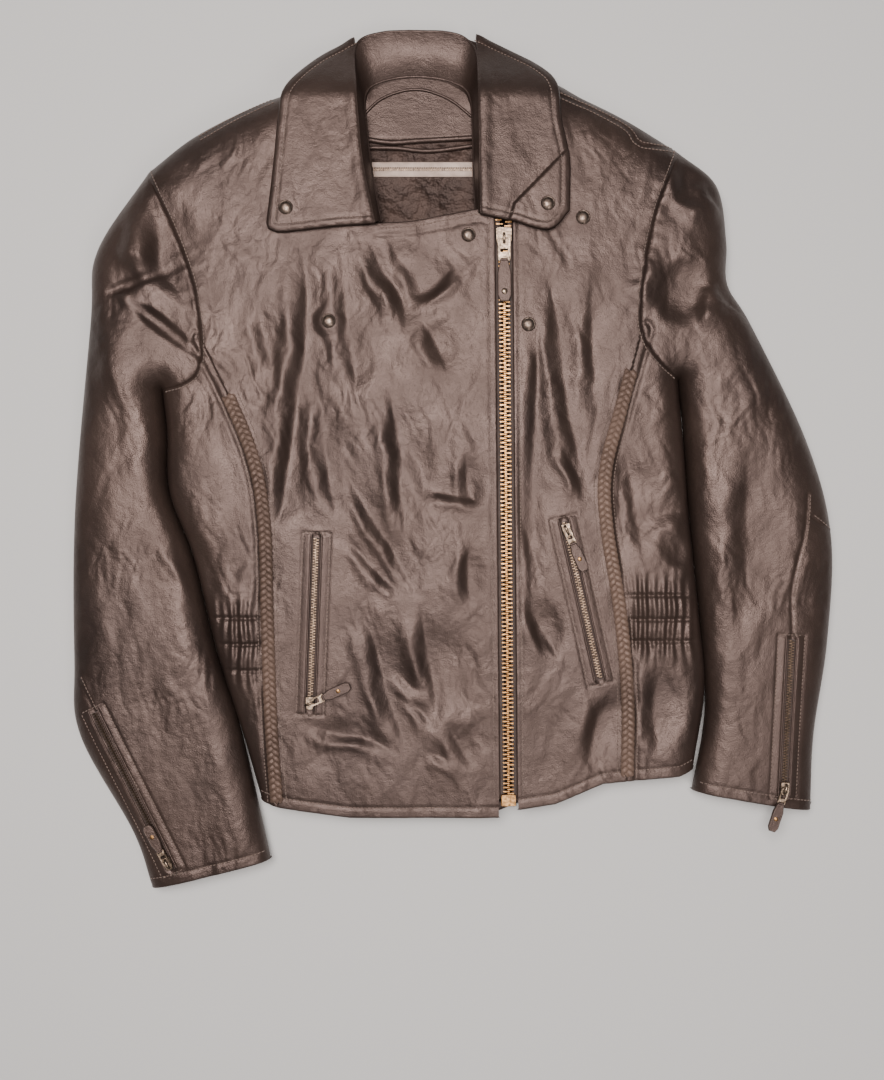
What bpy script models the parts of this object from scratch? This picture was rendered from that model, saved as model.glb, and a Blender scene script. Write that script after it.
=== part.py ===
"""Leather riding jacket, lying on its back with the front zipped shut and the collar folded down.

Metres. +Z is up from the surface that the jacket lies on, +Y points to the collar and +X is the
wearer's left. The origin is on the underside of the back panel, so right-hand pieces are at -X.
Every leather or cloth piece is a shell: a plan outline lifted to the jacket's upper or lower surface.
"""
import math

import bmesh
import bpy
from mathutils import Matrix, Vector
from mathutils.geometry import delaunay_2d_cdt, intersect_point_line

# Driving dimensions
CROWN_AT_ORIGIN = 0.0415      # height of the upper surface over the origin
CROWN_SLOPE = 0.0275          # its rise per metre towards the collar
EDGE_HEIGHT = 0.014           # height of the silhouette where upper and lower shells meet
TOP_ROUND = 0.045             # width of the rounded border of the upper surface
UNDER_ROUND = 0.022           # width of the rounded border of the lower surface
ROUND_POWER = 2.3             # above 2 the border is fuller than an ellipse
SEAM_GAP = 0.0012             # gap left between neighbouring panels
EDGE_GAP = 0.0024             # gap between the upper and lower shells along the silhouette
LEATHER = 0.0018              # thickness of the shell
LINING = 0.0008               # thickness of the satin lining
CLEARANCE = 0.0004            # gap under a piece that rests on another
PANEL_STEP = 0.034            # spacing of the points of a panel
BORDER_RINGS = (0.005, 0.018)  # extra rows of points along a rounded border

TOOTH_PITCH = 0.00363         # seven teeth to the inch on the main zip
ZIP_OPENING = 0.0085          # from the middle of the main zip to the edge of each front
MAIN_ZIP = ((0.0445, 0.205), (0.0495, -0.296))
MAIN_SLIDER_START = 0.018     # from the top of the main zip to the middle of its slider

# Plan outlines, from the collar end downwards. Right is the wearer's right, at -X.
RIGHT_SHOULDER = ((-0.084, 0.325), (-0.147, 0.319), (-0.221, 0.286), (-0.268, 0.251))
RIGHT_SLEEVE_OUTER = ((-0.268, 0.251), (-0.314, 0.181), (-0.320, 0.118), (-0.334, -0.045),
                      (-0.335, -0.179), (-0.330, -0.246), (-0.283, -0.332), (-0.266, -0.381))
RIGHT_SLEEVE_INNER = ((-0.256, 0.058), (-0.272, 0.038), (-0.268, 0.012), (-0.256, -0.032),
                      (-0.234, -0.089), (-0.214, -0.170), (-0.191, -0.243), (-0.161, -0.355))
RIGHT_ARMHOLE = ((-0.268, 0.251), (-0.243, 0.198), (-0.224, 0.146), (-0.218, 0.100),
                 (-0.221, 0.074), (-0.234, 0.062), (-0.256, 0.058))
RIGHT_TORSO_EDGE = ((-0.256, 0.058), (-0.252, 0.020), (-0.250, -0.032), (-0.229, -0.089),
                    (-0.209, -0.170), (-0.186, -0.243), (-0.169, -0.302))
RIGHT_PRINCESS = ((-0.218, 0.100), (-0.194, 0.051), (-0.172, -0.005), (-0.163, -0.061),
                  (-0.161, -0.139), (-0.158, -0.230), (-0.153, -0.307))
RIGHT_ROLL = ((-0.087, 0.371), (-0.084, 0.324), (-0.078, 0.255), (-0.067, 0.199))
LEFT_SHOULDER = ((0.023, 0.325), (0.077, 0.333), (0.117, 0.315), (0.155, 0.296), (0.199, 0.269))
LEFT_SLEEVE_OUTER = ((0.199, 0.269), (0.234, 0.239), (0.243, 0.190), (0.244, 0.152), (0.265, 0.116),
                     (0.314, 0.014), (0.336, -0.070), (0.333, -0.162), (0.321, -0.245), (0.318, -0.312))
LEFT_SLEEVE_INNER = ((0.200, 0.067), (0.218, 0.014), (0.223, -0.039), (0.229, -0.120),
                     (0.231, -0.221), (0.213, -0.294))
LEFT_ARMHOLE = ((0.199, 0.269), (0.177, 0.211), (0.165, 0.150), (0.165, 0.108), (0.180, 0.082),
                (0.200, 0.067))
LEFT_TORSO_EDGE = ((0.200, 0.067), (0.206, -0.001), (0.210, -0.054), (0.219, -0.140),
                   (0.224, -0.205), (0.214, -0.274))
LEFT_PRINCESS = ((0.165, 0.108), (0.146, 0.039), (0.133, -0.014), (0.134, -0.060), (0.146, -0.135),
                 (0.153, -0.210), (0.153, -0.284))
LEFT_ROLL = ((0.022, 0.374), (0.023, 0.321), (0.024, 0.260), (0.025, 0.207))
BACK_NECK = ((0.023, 0.325), (-0.030, 0.337), (-0.084, 0.325))
HEM = ((-0.169, -0.302), (-0.153, -0.307), (-0.089, -0.316), (0.041, -0.316), (0.058, -0.309),
       (0.090, -0.304), (0.132, -0.286), (0.153, -0.284), (0.199, -0.280), (0.214, -0.274))
YOKE_SEAM_Y = 0.175

SILHOUETTE = {}               # smooth outlines that the rounded borders follow, filled by main()
MATERIALS = {
    "black_leather": ((0.018, 0.015, 0.014), 0.42, 0.0),
    "braid_leather": ((0.050, 0.036, 0.030), 0.55, 0.0),
    "black_fabric": ((0.012, 0.011, 0.011), 0.90, 0.0),
    "lining_fabric": ((0.016, 0.014, 0.015), 0.45, 0.0),
    "zip_tape": ((0.014, 0.013, 0.012), 0.85, 0.0),
    "antique_brass": ((0.38, 0.24, 0.12), 0.38, 1.0),
    "grey_zip": ((0.30, 0.27, 0.26), 0.55, 0.0),
    "dark_metal": ((0.16, 0.13, 0.11), 0.35, 1.0),
}


# Outlines and heights ---------------------------------------------------------------------------

def smooth_curve(points, step=PANEL_STEP):
    """A Catmull-Rom curve through the points, as plan points at most one step apart."""
    ring = [Vector(point) for point in points]
    ring = [2 * ring[0] - ring[1]] + ring + [2 * ring[-1] - ring[-2]]
    curve = []
    for before, start, end, after in zip(ring, ring[1:], ring[2:], ring[3:]):
        pieces = max(1, math.ceil((end - start).length / step))
        for piece in range(pieces):
            t = piece / pieces
            curve.append(0.5 * (2 * start + (end - before) * t
                                + (2 * before - 5 * start + 4 * end - after) * t ** 2
                                + (3 * start - before - 3 * end + after) * t ** 3))
    return curve + [ring[-2]]


def part_of(curve, start=None, end=None):
    """The stretch of a curve between its points nearest to start and end."""
    first = 0 if start is None else nearest_index(curve, start)
    last = len(curve) - 1 if end is None else nearest_index(curve, end)
    return curve[first:last + 1]


def nearest_index(curve, point):
    return min(range(len(curve)), key=lambda index: (curve[index] - Vector(point)).length)


def closed_outline(*stretches):
    """One loop from stretches laid end to end, without repeated points, running anticlockwise."""
    loop = []
    for stretch in stretches:
        for point in stretch:
            if not loop or (point - loop[-1]).length > 0.0015:
                loop.append(point)
    while (loop[0] - loop[-1]).length < 0.0015:
        loop.pop()
    loop = [start.lerp(end, piece / pieces)
            for start, end in zip(loop, loop[1:] + loop[:1])
            for pieces in [math.ceil((end - start).length / PANEL_STEP)]
            for piece in range(pieces)]
    twice_area = sum(a.x * b.y - b.x * a.y for a, b in zip(loop, loop[1:] + loop[:1]))
    return loop if twice_area > 0 else loop[::-1]


def inset(loop, distance):
    """The loop moved inwards by the distance, with mitred corners."""
    moved = []
    for before, point, after in zip(loop[-1:] + loop, loop, loop[1:] + loop[:1]):
        along = (point - before).normalized()
        beyond = (after - point).normalized()
        normals = Vector((-along.y, along.x)) + Vector((-beyond.y, beyond.x))
        moved.append(point + normals * (distance / max(0.45, normals.length_squared / 2)))
    return moved


def distance_to(curve, point):
    shortest = math.inf
    for start, end in zip(curve, curve[1:]):
        foot, share = intersect_point_line(point, start, end)
        foot = start if share < 0 else end if share > 1 else foot
        shortest = min(shortest, (Vector(foot[:2]) - point).length)
    return shortest


def is_inside(loop, point):
    crossings = 0
    for start, end in zip(loop, loop[1:] + loop[:1]):
        if (start.y > point.y) != (end.y > point.y):
            at = start.x + (point.y - start.y) / (end.y - start.y) * (end.x - start.x)
            crossings += at > point.x
    return crossings % 2 == 1


def crown(y):
    return CROWN_AT_ORIGIN + CROWN_SLOPE * y


def fullness(point, reach):
    """From 0 on the silhouette to 1 where the rounded border ends."""
    distance = min(distance_to(curve, point) for curve in SILHOUETTE.values())
    rest = 1 - min(max(distance - SEAM_GAP, 0.0) / reach, 1)
    return (1 - rest ** ROUND_POWER) ** (1 / ROUND_POWER)


def top_height(point):
    edge = EDGE_HEIGHT + EDGE_GAP / 2
    return edge + (crown(point.y) - edge) * fullness(point, TOP_ROUND)


def bottom_height(point):
    height = (EDGE_HEIGHT - EDGE_GAP / 2) * (1 - fullness(point, UNDER_ROUND))
    return 0.0 if height < 0.0002 else height


# Solids -----------------------------------------------------------------------------------------

def make_object(name, mesh, material):
    obj = bpy.data.objects.new(name, mesh)
    bpy.context.collection.objects.link(obj)
    if material is None:
        obj.hide_render = True
        obj.display_type = "WIRE"
        return obj
    if material not in bpy.data.materials:
        color, roughness, metallic = MATERIALS[material]
        new = bpy.data.materials.new(material)
        new.use_nodes = True
        shader = new.node_tree.nodes["Principled BSDF"]
        shader.inputs["Base Color"].default_value = (*color, 1.0)
        shader.inputs["Roughness"].default_value = roughness
        shader.inputs["Metallic"].default_value = metallic
        new.diffuse_color = (*color, 1.0)
    mesh.materials.append(bpy.data.materials[material])
    return obj


def panel(name, outline, height, material="black_leather", thickness=LEATHER, facing=1, step=PANEL_STEP,
          rings=BORDER_RINGS):
    """A shell over a plan outline. facing is 1 where it shows upwards and -1 where it shows downwards."""
    loop = inset(outline, SEAM_GAP / 2)
    points = list(loop)
    edge = loop + loop[:1]
    rows = [inset(loop, depth) for depth in rings]
    low = Vector((min(point.x for point in loop), min(point.y for point in loop)))
    high = Vector((max(point.x for point in loop), max(point.y for point in loop)))
    rows.append([Vector((low.x + (column + row % 2 / 2) * step, low.y + row * step * 0.87))
                 for row in range(math.ceil((high.y - low.y) / step / 0.87))
                 for column in range(math.ceil((high.x - low.x) / step) + 1)])
    for row, space in zip(rows, [*(0.9 * depth for depth in rings), 0.5 * step + max(rings, default=0.0)]):
        apart = min(0.4 * step, space)
        for point in row:
            if (is_inside(loop, point) and distance_to(edge, point) > space
                    and all((point - other).length > apart for other in points[len(loop):])):
                points.append(point)
    flat, _, faces, *_ = delaunay_2d_cdt(points, [], [list(range(len(loop)))], 1, 1e-6)
    mesh = bpy.data.meshes.new(name)
    mesh.from_pydata([(point.x, point.y, height(point)) for point in flat], [],
                     [face if facing > 0 else face[::-1] for face in faces])
    obj = make_object(name, mesh, material)
    solidify = obj.modifiers.new("thickness", "SOLIDIFY")
    solidify.thickness = thickness
    solidify.offset = -1.0
    mesh.shade_smooth()
    return obj


def extrude_outline(name, outline, low, high, frame, material):
    """A straight prism over a flat outline, placed by a frame."""
    bm = bmesh.new()
    base = bm.faces.new([bm.verts.new((x, y, low)) for x, y in outline])
    grown = bmesh.ops.extrude_face_region(bm, geom=[base])["geom"]
    bmesh.ops.translate(bm, vec=(0, 0, high - low), verts=[v for v in grown if isinstance(v, bmesh.types.BMVert)])
    bmesh.ops.recalc_face_normals(bm, faces=bm.faces)
    mesh = bpy.data.meshes.new(name)
    bm.to_mesh(mesh)
    bm.free()
    mesh.transform(frame)
    return make_object(name, mesh, material)


def extrude_section(name, section, start, end, frame, material):
    """A prism along the frame's own y axis; the section gives its x and z."""
    turned = Matrix(((1, 0, 0), (0, 0, -1), (0, 1, 0))).to_4x4()
    return extrude_outline(name, section, -end, -start, frame @ turned, material)


def rectangle(low_x, high_x, low_y, high_y):
    return [(low_x, low_y), (high_x, low_y), (high_x, high_y), (low_x, high_y)]


def disc(name, at, radius, thickness, material, sides=14):
    outline = [(radius * math.cos(turn), radius * math.sin(turn))
               for turn in (2 * math.pi * side / sides for side in range(sides))]
    return extrude_outline(name, outline, 0, thickness, Matrix.Translation(at), material)


def boolean(obj, helper, operation):
    modifier = obj.modifiers.new(operation.lower(), "BOOLEAN")
    modifier.operation = operation
    modifier.object = helper
    modifier.solver = "EXACT"


def hang_on(pivot_name, at, pieces, parent=None):
    """Parents the pieces to an empty on their joint's axis."""
    empty = bpy.data.objects.new(pivot_name, None)
    bpy.context.collection.objects.link(empty)
    empty.parent = parent
    empty.matrix_world = Matrix.Translation(at)
    bpy.context.view_layer.update()
    for piece in pieces:
        piece.parent = empty
        piece.matrix_parent_inverse = empty.matrix_world.inverted()
    return empty


# Leather shell ----------------------------------------------------------------------------------

def make_curves():
    shapes = {
        "right_shoulder": RIGHT_SHOULDER, "right_outer": RIGHT_SLEEVE_OUTER, "right_inner": RIGHT_SLEEVE_INNER,
        "right_armhole": RIGHT_ARMHOLE, "right_edge": RIGHT_TORSO_EDGE, "right_princess": RIGHT_PRINCESS,
        "right_roll": RIGHT_ROLL, "left_shoulder": LEFT_SHOULDER, "left_outer": LEFT_SLEEVE_OUTER,
        "left_inner": LEFT_SLEEVE_INNER, "left_armhole": LEFT_ARMHOLE, "left_edge": LEFT_TORSO_EDGE,
        "left_princess": LEFT_PRINCESS, "left_roll": LEFT_ROLL, "back_neck": BACK_NECK,
    }
    curves = {name: smooth_curve(points) for name, points in shapes.items()}
    curves["hem"] = [Vector(point) for point in HEM]
    for side in ("right", "left"):
        for border in ("shoulder", "outer", "inner", "edge"):
            SILHOUETTE[f"{side}_{border}"] = curves[f"{side}_{border}"]
    return curves


def zip_edge(side):
    """The edge of a front beside the main zip, from top to bottom."""
    top, bottom = (Vector(point) for point in MAIN_ZIP)
    return [top + Vector((side * ZIP_OPENING, 0.0)), bottom + Vector((side * ZIP_OPENING, -0.004))]


def below_shoulder(roll):
    """The stretch of a roll line along the front's neck edge, from its lower end up."""
    return [point for point in reversed(roll) if point.y < BACK_NECK[0][1] - 0.006]


def make_torso(curves):
    right_top, right_bottom = zip_edge(-1)
    left_top, left_bottom = zip_edge(1)
    hem = curves["hem"]
    right_front = closed_outline(
        curves["right_shoulder"], part_of(curves["right_armhole"], end=RIGHT_PRINCESS[0]),
        curves["right_princess"], part_of(hem, HEM[2], HEM[3]), [right_bottom, right_top],
        [Vector((0.030, 0.212)), Vector((-0.020, 0.206))], below_shoulder(curves["right_roll"]))
    left_front = closed_outline(
        curves["left_shoulder"], part_of(curves["left_armhole"], end=LEFT_PRINCESS[0]),
        curves["left_princess"], part_of(hem, HEM[4], HEM[6])[::-1], [left_bottom, left_top],
        [Vector((0.045, 0.216)), Vector((0.027, 0.224))], below_shoulder(curves["left_roll"])[1:])
    right_side = closed_outline(
        part_of(curves["right_armhole"], RIGHT_PRINCESS[0]), curves["right_edge"], hem[:2],
        curves["right_princess"][::-1])
    left_side = closed_outline(
        part_of(curves["left_armhole"], LEFT_PRINCESS[0]), curves["left_edge"], hem[:-4:-1],
        curves["left_princess"][::-1])
    panel("right_front_panel", right_front, top_height)
    panel("left_front_panel", left_front, top_height)
    panel("right_side_panel", right_side, top_height)
    panel("left_side_panel", left_side, top_height)

    right_split = nearest_index(curves["right_armhole"], (-0.235, YOKE_SEAM_Y))
    left_split = nearest_index(curves["left_armhole"], (0.170, YOKE_SEAM_Y))
    back = closed_outline(
        curves["right_armhole"][right_split:], curves["right_edge"], hem, curves["left_edge"][::-1],
        curves["left_armhole"][:left_split - 1:-1])
    yoke = closed_outline(
        curves["right_shoulder"], curves["right_armhole"][:right_split + 1],
        curves["left_armhole"][left_split::-1], curves["left_shoulder"][::-1], curves["back_neck"])
    panel("back_panel", back, bottom_height, facing=-1)
    panel("back_yoke", yoke, bottom_height, facing=-1)


def ribbon_outline(curve, width):
    """An outline of even width along a curve."""
    sides = ([], [])
    for index, point in enumerate(curve):
        along = (curve[min(index + 1, len(curve) - 1)] - curve[max(index - 1, 0)]).normalized()
        across = Vector((-along.y, along.x)) * width / 2
        sides[0].append(point + across)
        sides[1].append(point - across)
    return closed_outline(sides[0], sides[1][::-1])


def raised(lift, base=top_height):
    return lambda point: base(point) + lift


def make_torso_trim(curves):
    braid_lift = LEATHER + 0.0022
    for side, top, bottom in (("right", RIGHT_PRINCESS[1], RIGHT_PRINCESS[-1]),
                              ("left", LEFT_PRINCESS[1], LEFT_PRINCESS[-1])):
        line = part_of(curves[f"{side}_princess"], top, bottom)[:-1]
        panel(f"{side}_braid_trim", ribbon_outline(line, 0.012), raised(braid_lift), "braid_leather",
              rings=())
    waist = -LEATHER - 0.0050
    for side, across, low, high in (("right", (-0.186, -0.169), -0.190, -0.142),
                                    ("left", (0.154, 0.175), -0.168, -0.118)):
        corners = [Vector(corner) for corner in rectangle(*across, low, high)]
        panel(f"{side}_waist_elastic", closed_outline(corners), raised(waist), "black_fabric", 0.0012,
              rings=())


def make_sleeve(side, curves):
    outline = closed_outline(curves[f"{side}_armhole"], curves[f"{side}_inner"],
                             curves[f"{side}_outer"][::-1])
    top = panel(f"{side}_top_sleeve", outline, top_height)
    under = panel(f"{side}_under_sleeve", outline, bottom_height, facing=-1)
    return [top, under, make_sleeve_lining(side, curves)]


def even_points(curve, count):
    """Points spread evenly along a curve."""
    lengths = [0.0]
    for start, end in zip(curve, curve[1:]):
        lengths.append(lengths[-1] + (end - start).length)
    points = []
    for step in range(count):
        target = lengths[-1] * step / (count - 1)
        index = next(i for i in range(1, len(lengths)) if lengths[i] >= target - 1e-9)
        share = (target - lengths[index - 1]) / (lengths[index] - lengths[index - 1])
        points.append(curve[index - 1].lerp(curve[index], share))
    return points


def clear_of_silhouette(start, end, away=0.019, tries=40):
    """The first point on the way from start to end that is far enough inside every silhouette."""
    shares = (attempt / tries for attempt in range(tries))
    clear = (start.lerp(end, share) for share in shares)
    return next(p for p in clear if min(distance_to(curve, p) for curve in SILHOUETTE.values()) > away)


def make_sleeve_lining(side, curves, ribs=9, across=5):
    """A flat tube of lining from below the underarm to short of the cuff, open at both ends."""
    low = -0.005
    outer = even_points([point for point in curves[f"{side}_outer"] if point.y < low], ribs + 1)[:-1]
    inner = even_points([point for point in curves[f"{side}_inner"] if point.y < low], ribs + 1)[:-1]
    verts = []
    for rib in range(ribs):
        start, end = (clear_of_silhouette(*pair) for pair in ((outer[rib], inner[rib]), (inner[rib], outer[rib])))
        row = [start.lerp(end, step / (across - 1)) for step in range(across)]
        verts += [(point.x, point.y, crown(point.y) - 0.0150) for point in row]
        verts += [(point.x, point.y, 0.0065) for point in row[::-1]]
    count = 2 * across
    faces = [(rib * count + step, rib * count + (step + 1) % count,
              (rib + 1) * count + (step + 1) % count, (rib + 1) * count + step)
             for rib in range(ribs - 1) for step in range(count)]
    mesh = bpy.data.meshes.new(f"{side}_sleeve_lining")
    mesh.from_pydata(verts, [], faces)
    bm = bmesh.new()
    bm.from_mesh(mesh)
    bmesh.ops.recalc_face_normals(bm, faces=bm.faces)
    bm.to_mesh(mesh)
    bm.free()
    obj = make_object(f"{side}_sleeve_lining", mesh, "lining_fabric")
    solidify = obj.modifiers.new("thickness", "SOLIDIFY")
    solidify.thickness = LINING
    solidify.offset = 0.0
    return obj


# Collar -----------------------------------------------------------------------------------------

LEAF_HEIGHT = 0.0535          # outer surface of a collar leaf over the chest
LEAF_DROP = 0.034             # how far it falls behind the shoulder line
LEAF_DROP_START = 0.305
LEAF_DROP_LENGTH = 0.070


def leaf_height(point):
    fall = min(max((point.y - LEAF_DROP_START) / LEAF_DROP_LENGTH, 0), 1)
    return LEAF_HEIGHT - LEAF_DROP * fall * fall * (3 - 2 * fall)


def roll_point(curve, y):
    """The point of a straight roll line at the given y."""
    top, bottom = Vector(curve[0]), Vector(curve[-1])
    return top.lerp(bottom, (y - top.y) / (bottom.y - top.y))


def make_collar(curves):
    stand_inset = 0.0035
    right_axis = [Vector(RIGHT_ROLL[-1]) + Vector((-0.002, 0.0)), Vector(RIGHT_ROLL[0])]
    left_axis = [Vector(LEFT_ROLL[-1]) + Vector((0.002, 0.0)), Vector(LEFT_ROLL[0])]
    right_leaf = closed_outline(
        right_axis, [Vector(p) for p in ((-0.118, 0.349), (-0.147, 0.318), (-0.154, 0.290), (-0.160, 0.250),
                                         (-0.165, 0.199), (-0.158, 0.192), (-0.100, 0.197))])
    left_leaf = closed_outline(
        left_axis, [Vector(p) for p in ((0.052, 0.357), (0.078, 0.338), (0.090, 0.320), (0.092, 0.290),
                                        (0.100, 0.255), (0.099, 0.208), (0.083, 0.194), (0.050, 0.202))])
    leaves = []
    for side, outline in (("right", right_leaf), ("left", left_leaf)):
        leaves.append(panel(f"{side}_collar_leaf", outline, leaf_height, rings=()))

    fall = closed_outline([Vector(p) for p in ((-0.098, 0.338), (-0.037, 0.344), (0.034, 0.334),
                                               (0.024, 0.372), (-0.033, 0.378), (-0.090, 0.370))])
    panel("collar_back_fall", fall, lambda point: 0.0, facing=-1, rings=())

    ys = (0.205, 0.240, 0.275, 0.310, 0.338)
    rise = (0.030, 0.022, 0.016, 0.013, 0.010)
    verts = []
    for curve, inwards, order in ((RIGHT_ROLL, 1, 1), (LEFT_ROLL, -1, -1)):
        stations = list(zip(ys, rise))[::order]
        if curve is LEFT_ROLL:
            stations.pop()
        for y, low in stations:
            edge = roll_point(curve, y) + Vector((inwards * stand_inset, 0))
            foot = edge + Vector((inwards * 0.012, 0))
            lean = 0.018 * min(max((y - 0.300) / 0.038, 0), 1)
            top = Vector((edge.x, y + 0.6 * lean, leaf_height(edge)))
            verts += [top, Vector((foot.x, y - 0.4 * lean, low))]
        if curve is RIGHT_ROLL:
            verts += [Vector((-0.055, 0.368, 0.013)), Vector((-0.055, 0.340, 0.0050)),
                      Vector((-0.010, 0.368, 0.013)), Vector((-0.010, 0.340, 0.0050))]
    faces = [(2 * i, 2 * i + 1, 2 * i + 3, 2 * i + 2) for i in range(len(verts) // 2 - 1)]
    mesh = bpy.data.meshes.new("collar_stand")
    mesh.from_pydata(verts, [], faces)
    stand = make_object("collar_stand", mesh, "black_leather")
    solidify = stand.modifiers.new("thickness", "SOLIDIFY")
    solidify.thickness = LEATHER
    solidify.offset = 0.0
    mesh.shade_smooth()
    return leaves


# Zips -------------------------------------------------------------------------------------------

def line_frame(start, end, lift):
    """A frame at start with y along the line and z up from it; lift raises it."""
    along = (end - start).normalized()
    across = along.cross(Vector((0, 0, 1))).normalized()
    up = across.cross(along)
    frame = Matrix((across, along, up)).transposed().to_4x4()
    frame.translation = start + up * lift
    return frame


def tooth_row(name, side, length, frame):
    """One row of teeth as a comb: a bead along the tape with a pointed tooth at every pitch."""
    tip, root, bead = 0.0012, 0.0032, 0.0048
    count = round(length / TOOTH_PITCH)
    outline = [(side * bead, 0.0)]
    for tooth in range(count):
        start = (tooth + (0.25 if side > 0 else 0.0)) * TOOTH_PITCH
        outline += [(side * root, start), (side * tip, start + TOOTH_PITCH / 2)]
    outline.append((side * bead, outline[-1][1]))
    return extrude_outline(name, outline, -0.0044, -0.0014, frame, "antique_brass")


def bail(name, frame):
    """The arch over a slider that its pull hangs on, as a helper for a union."""
    foot = -0.0006
    arch = [(-0.0045, foot), (-0.0033, foot), (-0.0033, 0.0028), (0.0033, 0.0028), (0.0033, foot),
            (0.0045, foot), (0.0045, 0.0032), (0.0037, 0.0040), (-0.0037, 0.0040), (-0.0045, 0.0032)]
    turned = Matrix(((0, 0, 1), (1, 0, 0), (0, 1, 0))).to_4x4()
    return extrude_outline(name, arch, -0.0007, 0.0007, frame @ turned, None)


def make_pull(prefix, frame, link, tab, tab_material="black_leather"):
    """A metal link on the bail and a leather tab beyond it, both lying along the frame's y."""
    length, half = link
    outline = [(-half, -0.0005), (half, -0.0005), (half * 0.8, length), (-half * 0.8, length)]
    pull = extrude_outline(f"{prefix}_pull", outline, 0.0007, 0.0017, frame, "antique_brass")
    window = extrude_outline(f"{prefix}_pull_window", rectangle(-0.0016, 0.0016, 0.0005, 0.0056),
                             0.0, 0.0030, frame, None)
    boolean(pull, window, "DIFFERENCE")
    tab_length, tab_half = tab
    start = length + 1.5 * CLEARANCE
    end = start + tab_length
    shape = [(-tab_half * 0.55, start), (tab_half * 0.55, start), (tab_half, start + 0.35 * tab_length),
             (tab_half, end - tab_half * 0.8), (tab_half * 0.6, end), (-tab_half * 0.6, end),
             (-tab_half, end - tab_half * 0.8), (-tab_half, start + 0.35 * tab_length)]
    leather = extrude_outline(f"{prefix}_puller_tab", shape, 0.0003, 0.0021, frame, tab_material)
    return pull, leather


def make_main_zip():
    top, bottom = (Vector((x, y, crown(y))) for x, y in MAIN_ZIP)
    frame = line_frame(top, bottom, 0.0)
    length = (bottom - top).length
    for side, name in ((1, "right"), (-1, "left")):
        across = sorted((side * 0.0052, side * 0.0190))
        extrude_outline(f"{name}_zip_tape", rectangle(*across, -0.003, length), -0.0034, -0.0026, frame,
                        "zip_tape")
        tooth_row(f"{name}_zip_teeth", side, length, frame)
    box = rectangle(-0.0062, 0.0062, length + 0.0004, length + 0.0100)
    extrude_outline("zip_retainer_box", box, -0.0050, -0.0006, frame, "antique_brass")

    middle = frame @ Matrix.Translation((0, MAIN_SLIDER_START, 0))
    half = [(0.0008, -0.0010), (0.0056, -0.0010), (0.0056, -0.0021), (0.0070, -0.0021), (0.0070, 0.0002),
            (0.0062, 0.0006)]
    lower = [(0.0062, -0.0062), (0.0070, -0.0058), (0.0070, -0.0039), (0.0056, -0.0039), (0.0056, -0.0048),
             (0.0008, -0.0048)]
    section = lower + half
    section += [(-x, z) for x, z in reversed(section)]
    slider = extrude_section("main_slider", section, -0.009, 0.009, middle, "dark_metal")
    slider_top = middle @ Matrix.Translation((0, 0, 0.0006))
    boolean(slider, bail("main_slider_bail", slider_top), "UNION")
    pull, tab = make_pull("main", slider_top, (0.020, 0.0055), (0.034, 0.0058))
    rivet = disc("main_puller_rivet", slider_top @ Vector((0, 0.046, 0.0024)), 0.0024, 0.0009,
                 "antique_brass")
    slider_empty = hang_on("main_slider_pivot", middle.translation, [slider])
    pull_empty = hang_on("main_pull_pivot", slider_top @ Vector((0, 0, 0.0012)), [pull], slider_empty)
    hang_on("main_tab_pivot", slider_top @ Vector((0, 0.0202, 0.0012)), [tab, rivet], pull_empty)


SMALL_ZIPS = {
    # name: (start, end, place of the slider along the zip, direction in which its pull lies, parent)
    "right_pocket": ((-0.118, -0.072), (-0.124, -0.222), 0.957, 24.0, None),
    "left_pocket": ((0.0975, -0.058), (0.129, -0.195), 0.052, -66.0, None),
    "right_cuff": ((-0.313, -0.225), (-0.246, -0.362), 0.960, 118.0, "right_sleeve"),
    "left_cuff": ((0.296, -0.161), (0.290, -0.296), 0.960, -108.0, "left_sleeve"),
}


def make_small_zip(name, start, end, share, direction, parent):
    """A closed chain on the leather with a slider that straddles it."""
    start, end = (Vector((x, y, top_height(Vector((x, y))))) for x, y in (start, end))
    lift = 0.0006 + (0.0016 if parent == "right_sleeve" else 0.0)
    frame = line_frame(start, end, lift)
    length = (end - start).length
    chain = [(-0.0075, 0.0), (0.0075, 0.0), (0.0075, 0.0005), (0.0027, 0.0005), (0.0027, 0.0022),
             (-0.0027, 0.0022), (-0.0027, 0.0005), (-0.0075, 0.0005)]
    strip = extrude_section(f"{name}_zip", chain, 0.0, length, frame, "antique_brass")
    middle = frame @ Matrix.Translation((0, share * length, 0))
    cap = [(0.0046, 0.0009), (0.0046, 0.0032), (0.0040, 0.0036), (-0.0040, 0.0036), (-0.0046, 0.0032),
           (-0.0046, 0.0009), (-0.0032, 0.0009), (-0.0032, 0.0026), (0.0032, 0.0026), (0.0032, 0.0009)]
    slider = extrude_section(f"{name}_slider", cap, -0.0055, 0.0055, middle, "dark_metal")
    along = middle.to_3x3() @ Vector((0, 1, 0))
    turn = math.radians(direction) - math.atan2(along.y, along.x)
    slider_top = middle @ Matrix.Translation((0, 0, 0.0036)) @ Matrix.Rotation(turn, 4, "Z")
    boolean(slider, bail(f"{name}_bail", slider_top), "UNION")
    pull, tab = make_pull(name, slider_top, (0.014, 0.0034), (0.024, 0.0046))
    slider_empty = hang_on(f"{name}_slider_pivot", middle.translation, [slider], parent)
    pull_empty = hang_on(f"{name}_pull_pivot", slider_top @ Vector((0, 0, 0.0012)), [pull], slider_empty)
    hang_on(f"{name}_tab_pivot", slider_top @ Vector((0, 0.0142, 0.0012)), [tab], pull_empty)
    return strip


# Press studs ------------------------------------------------------------------------------------

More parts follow.
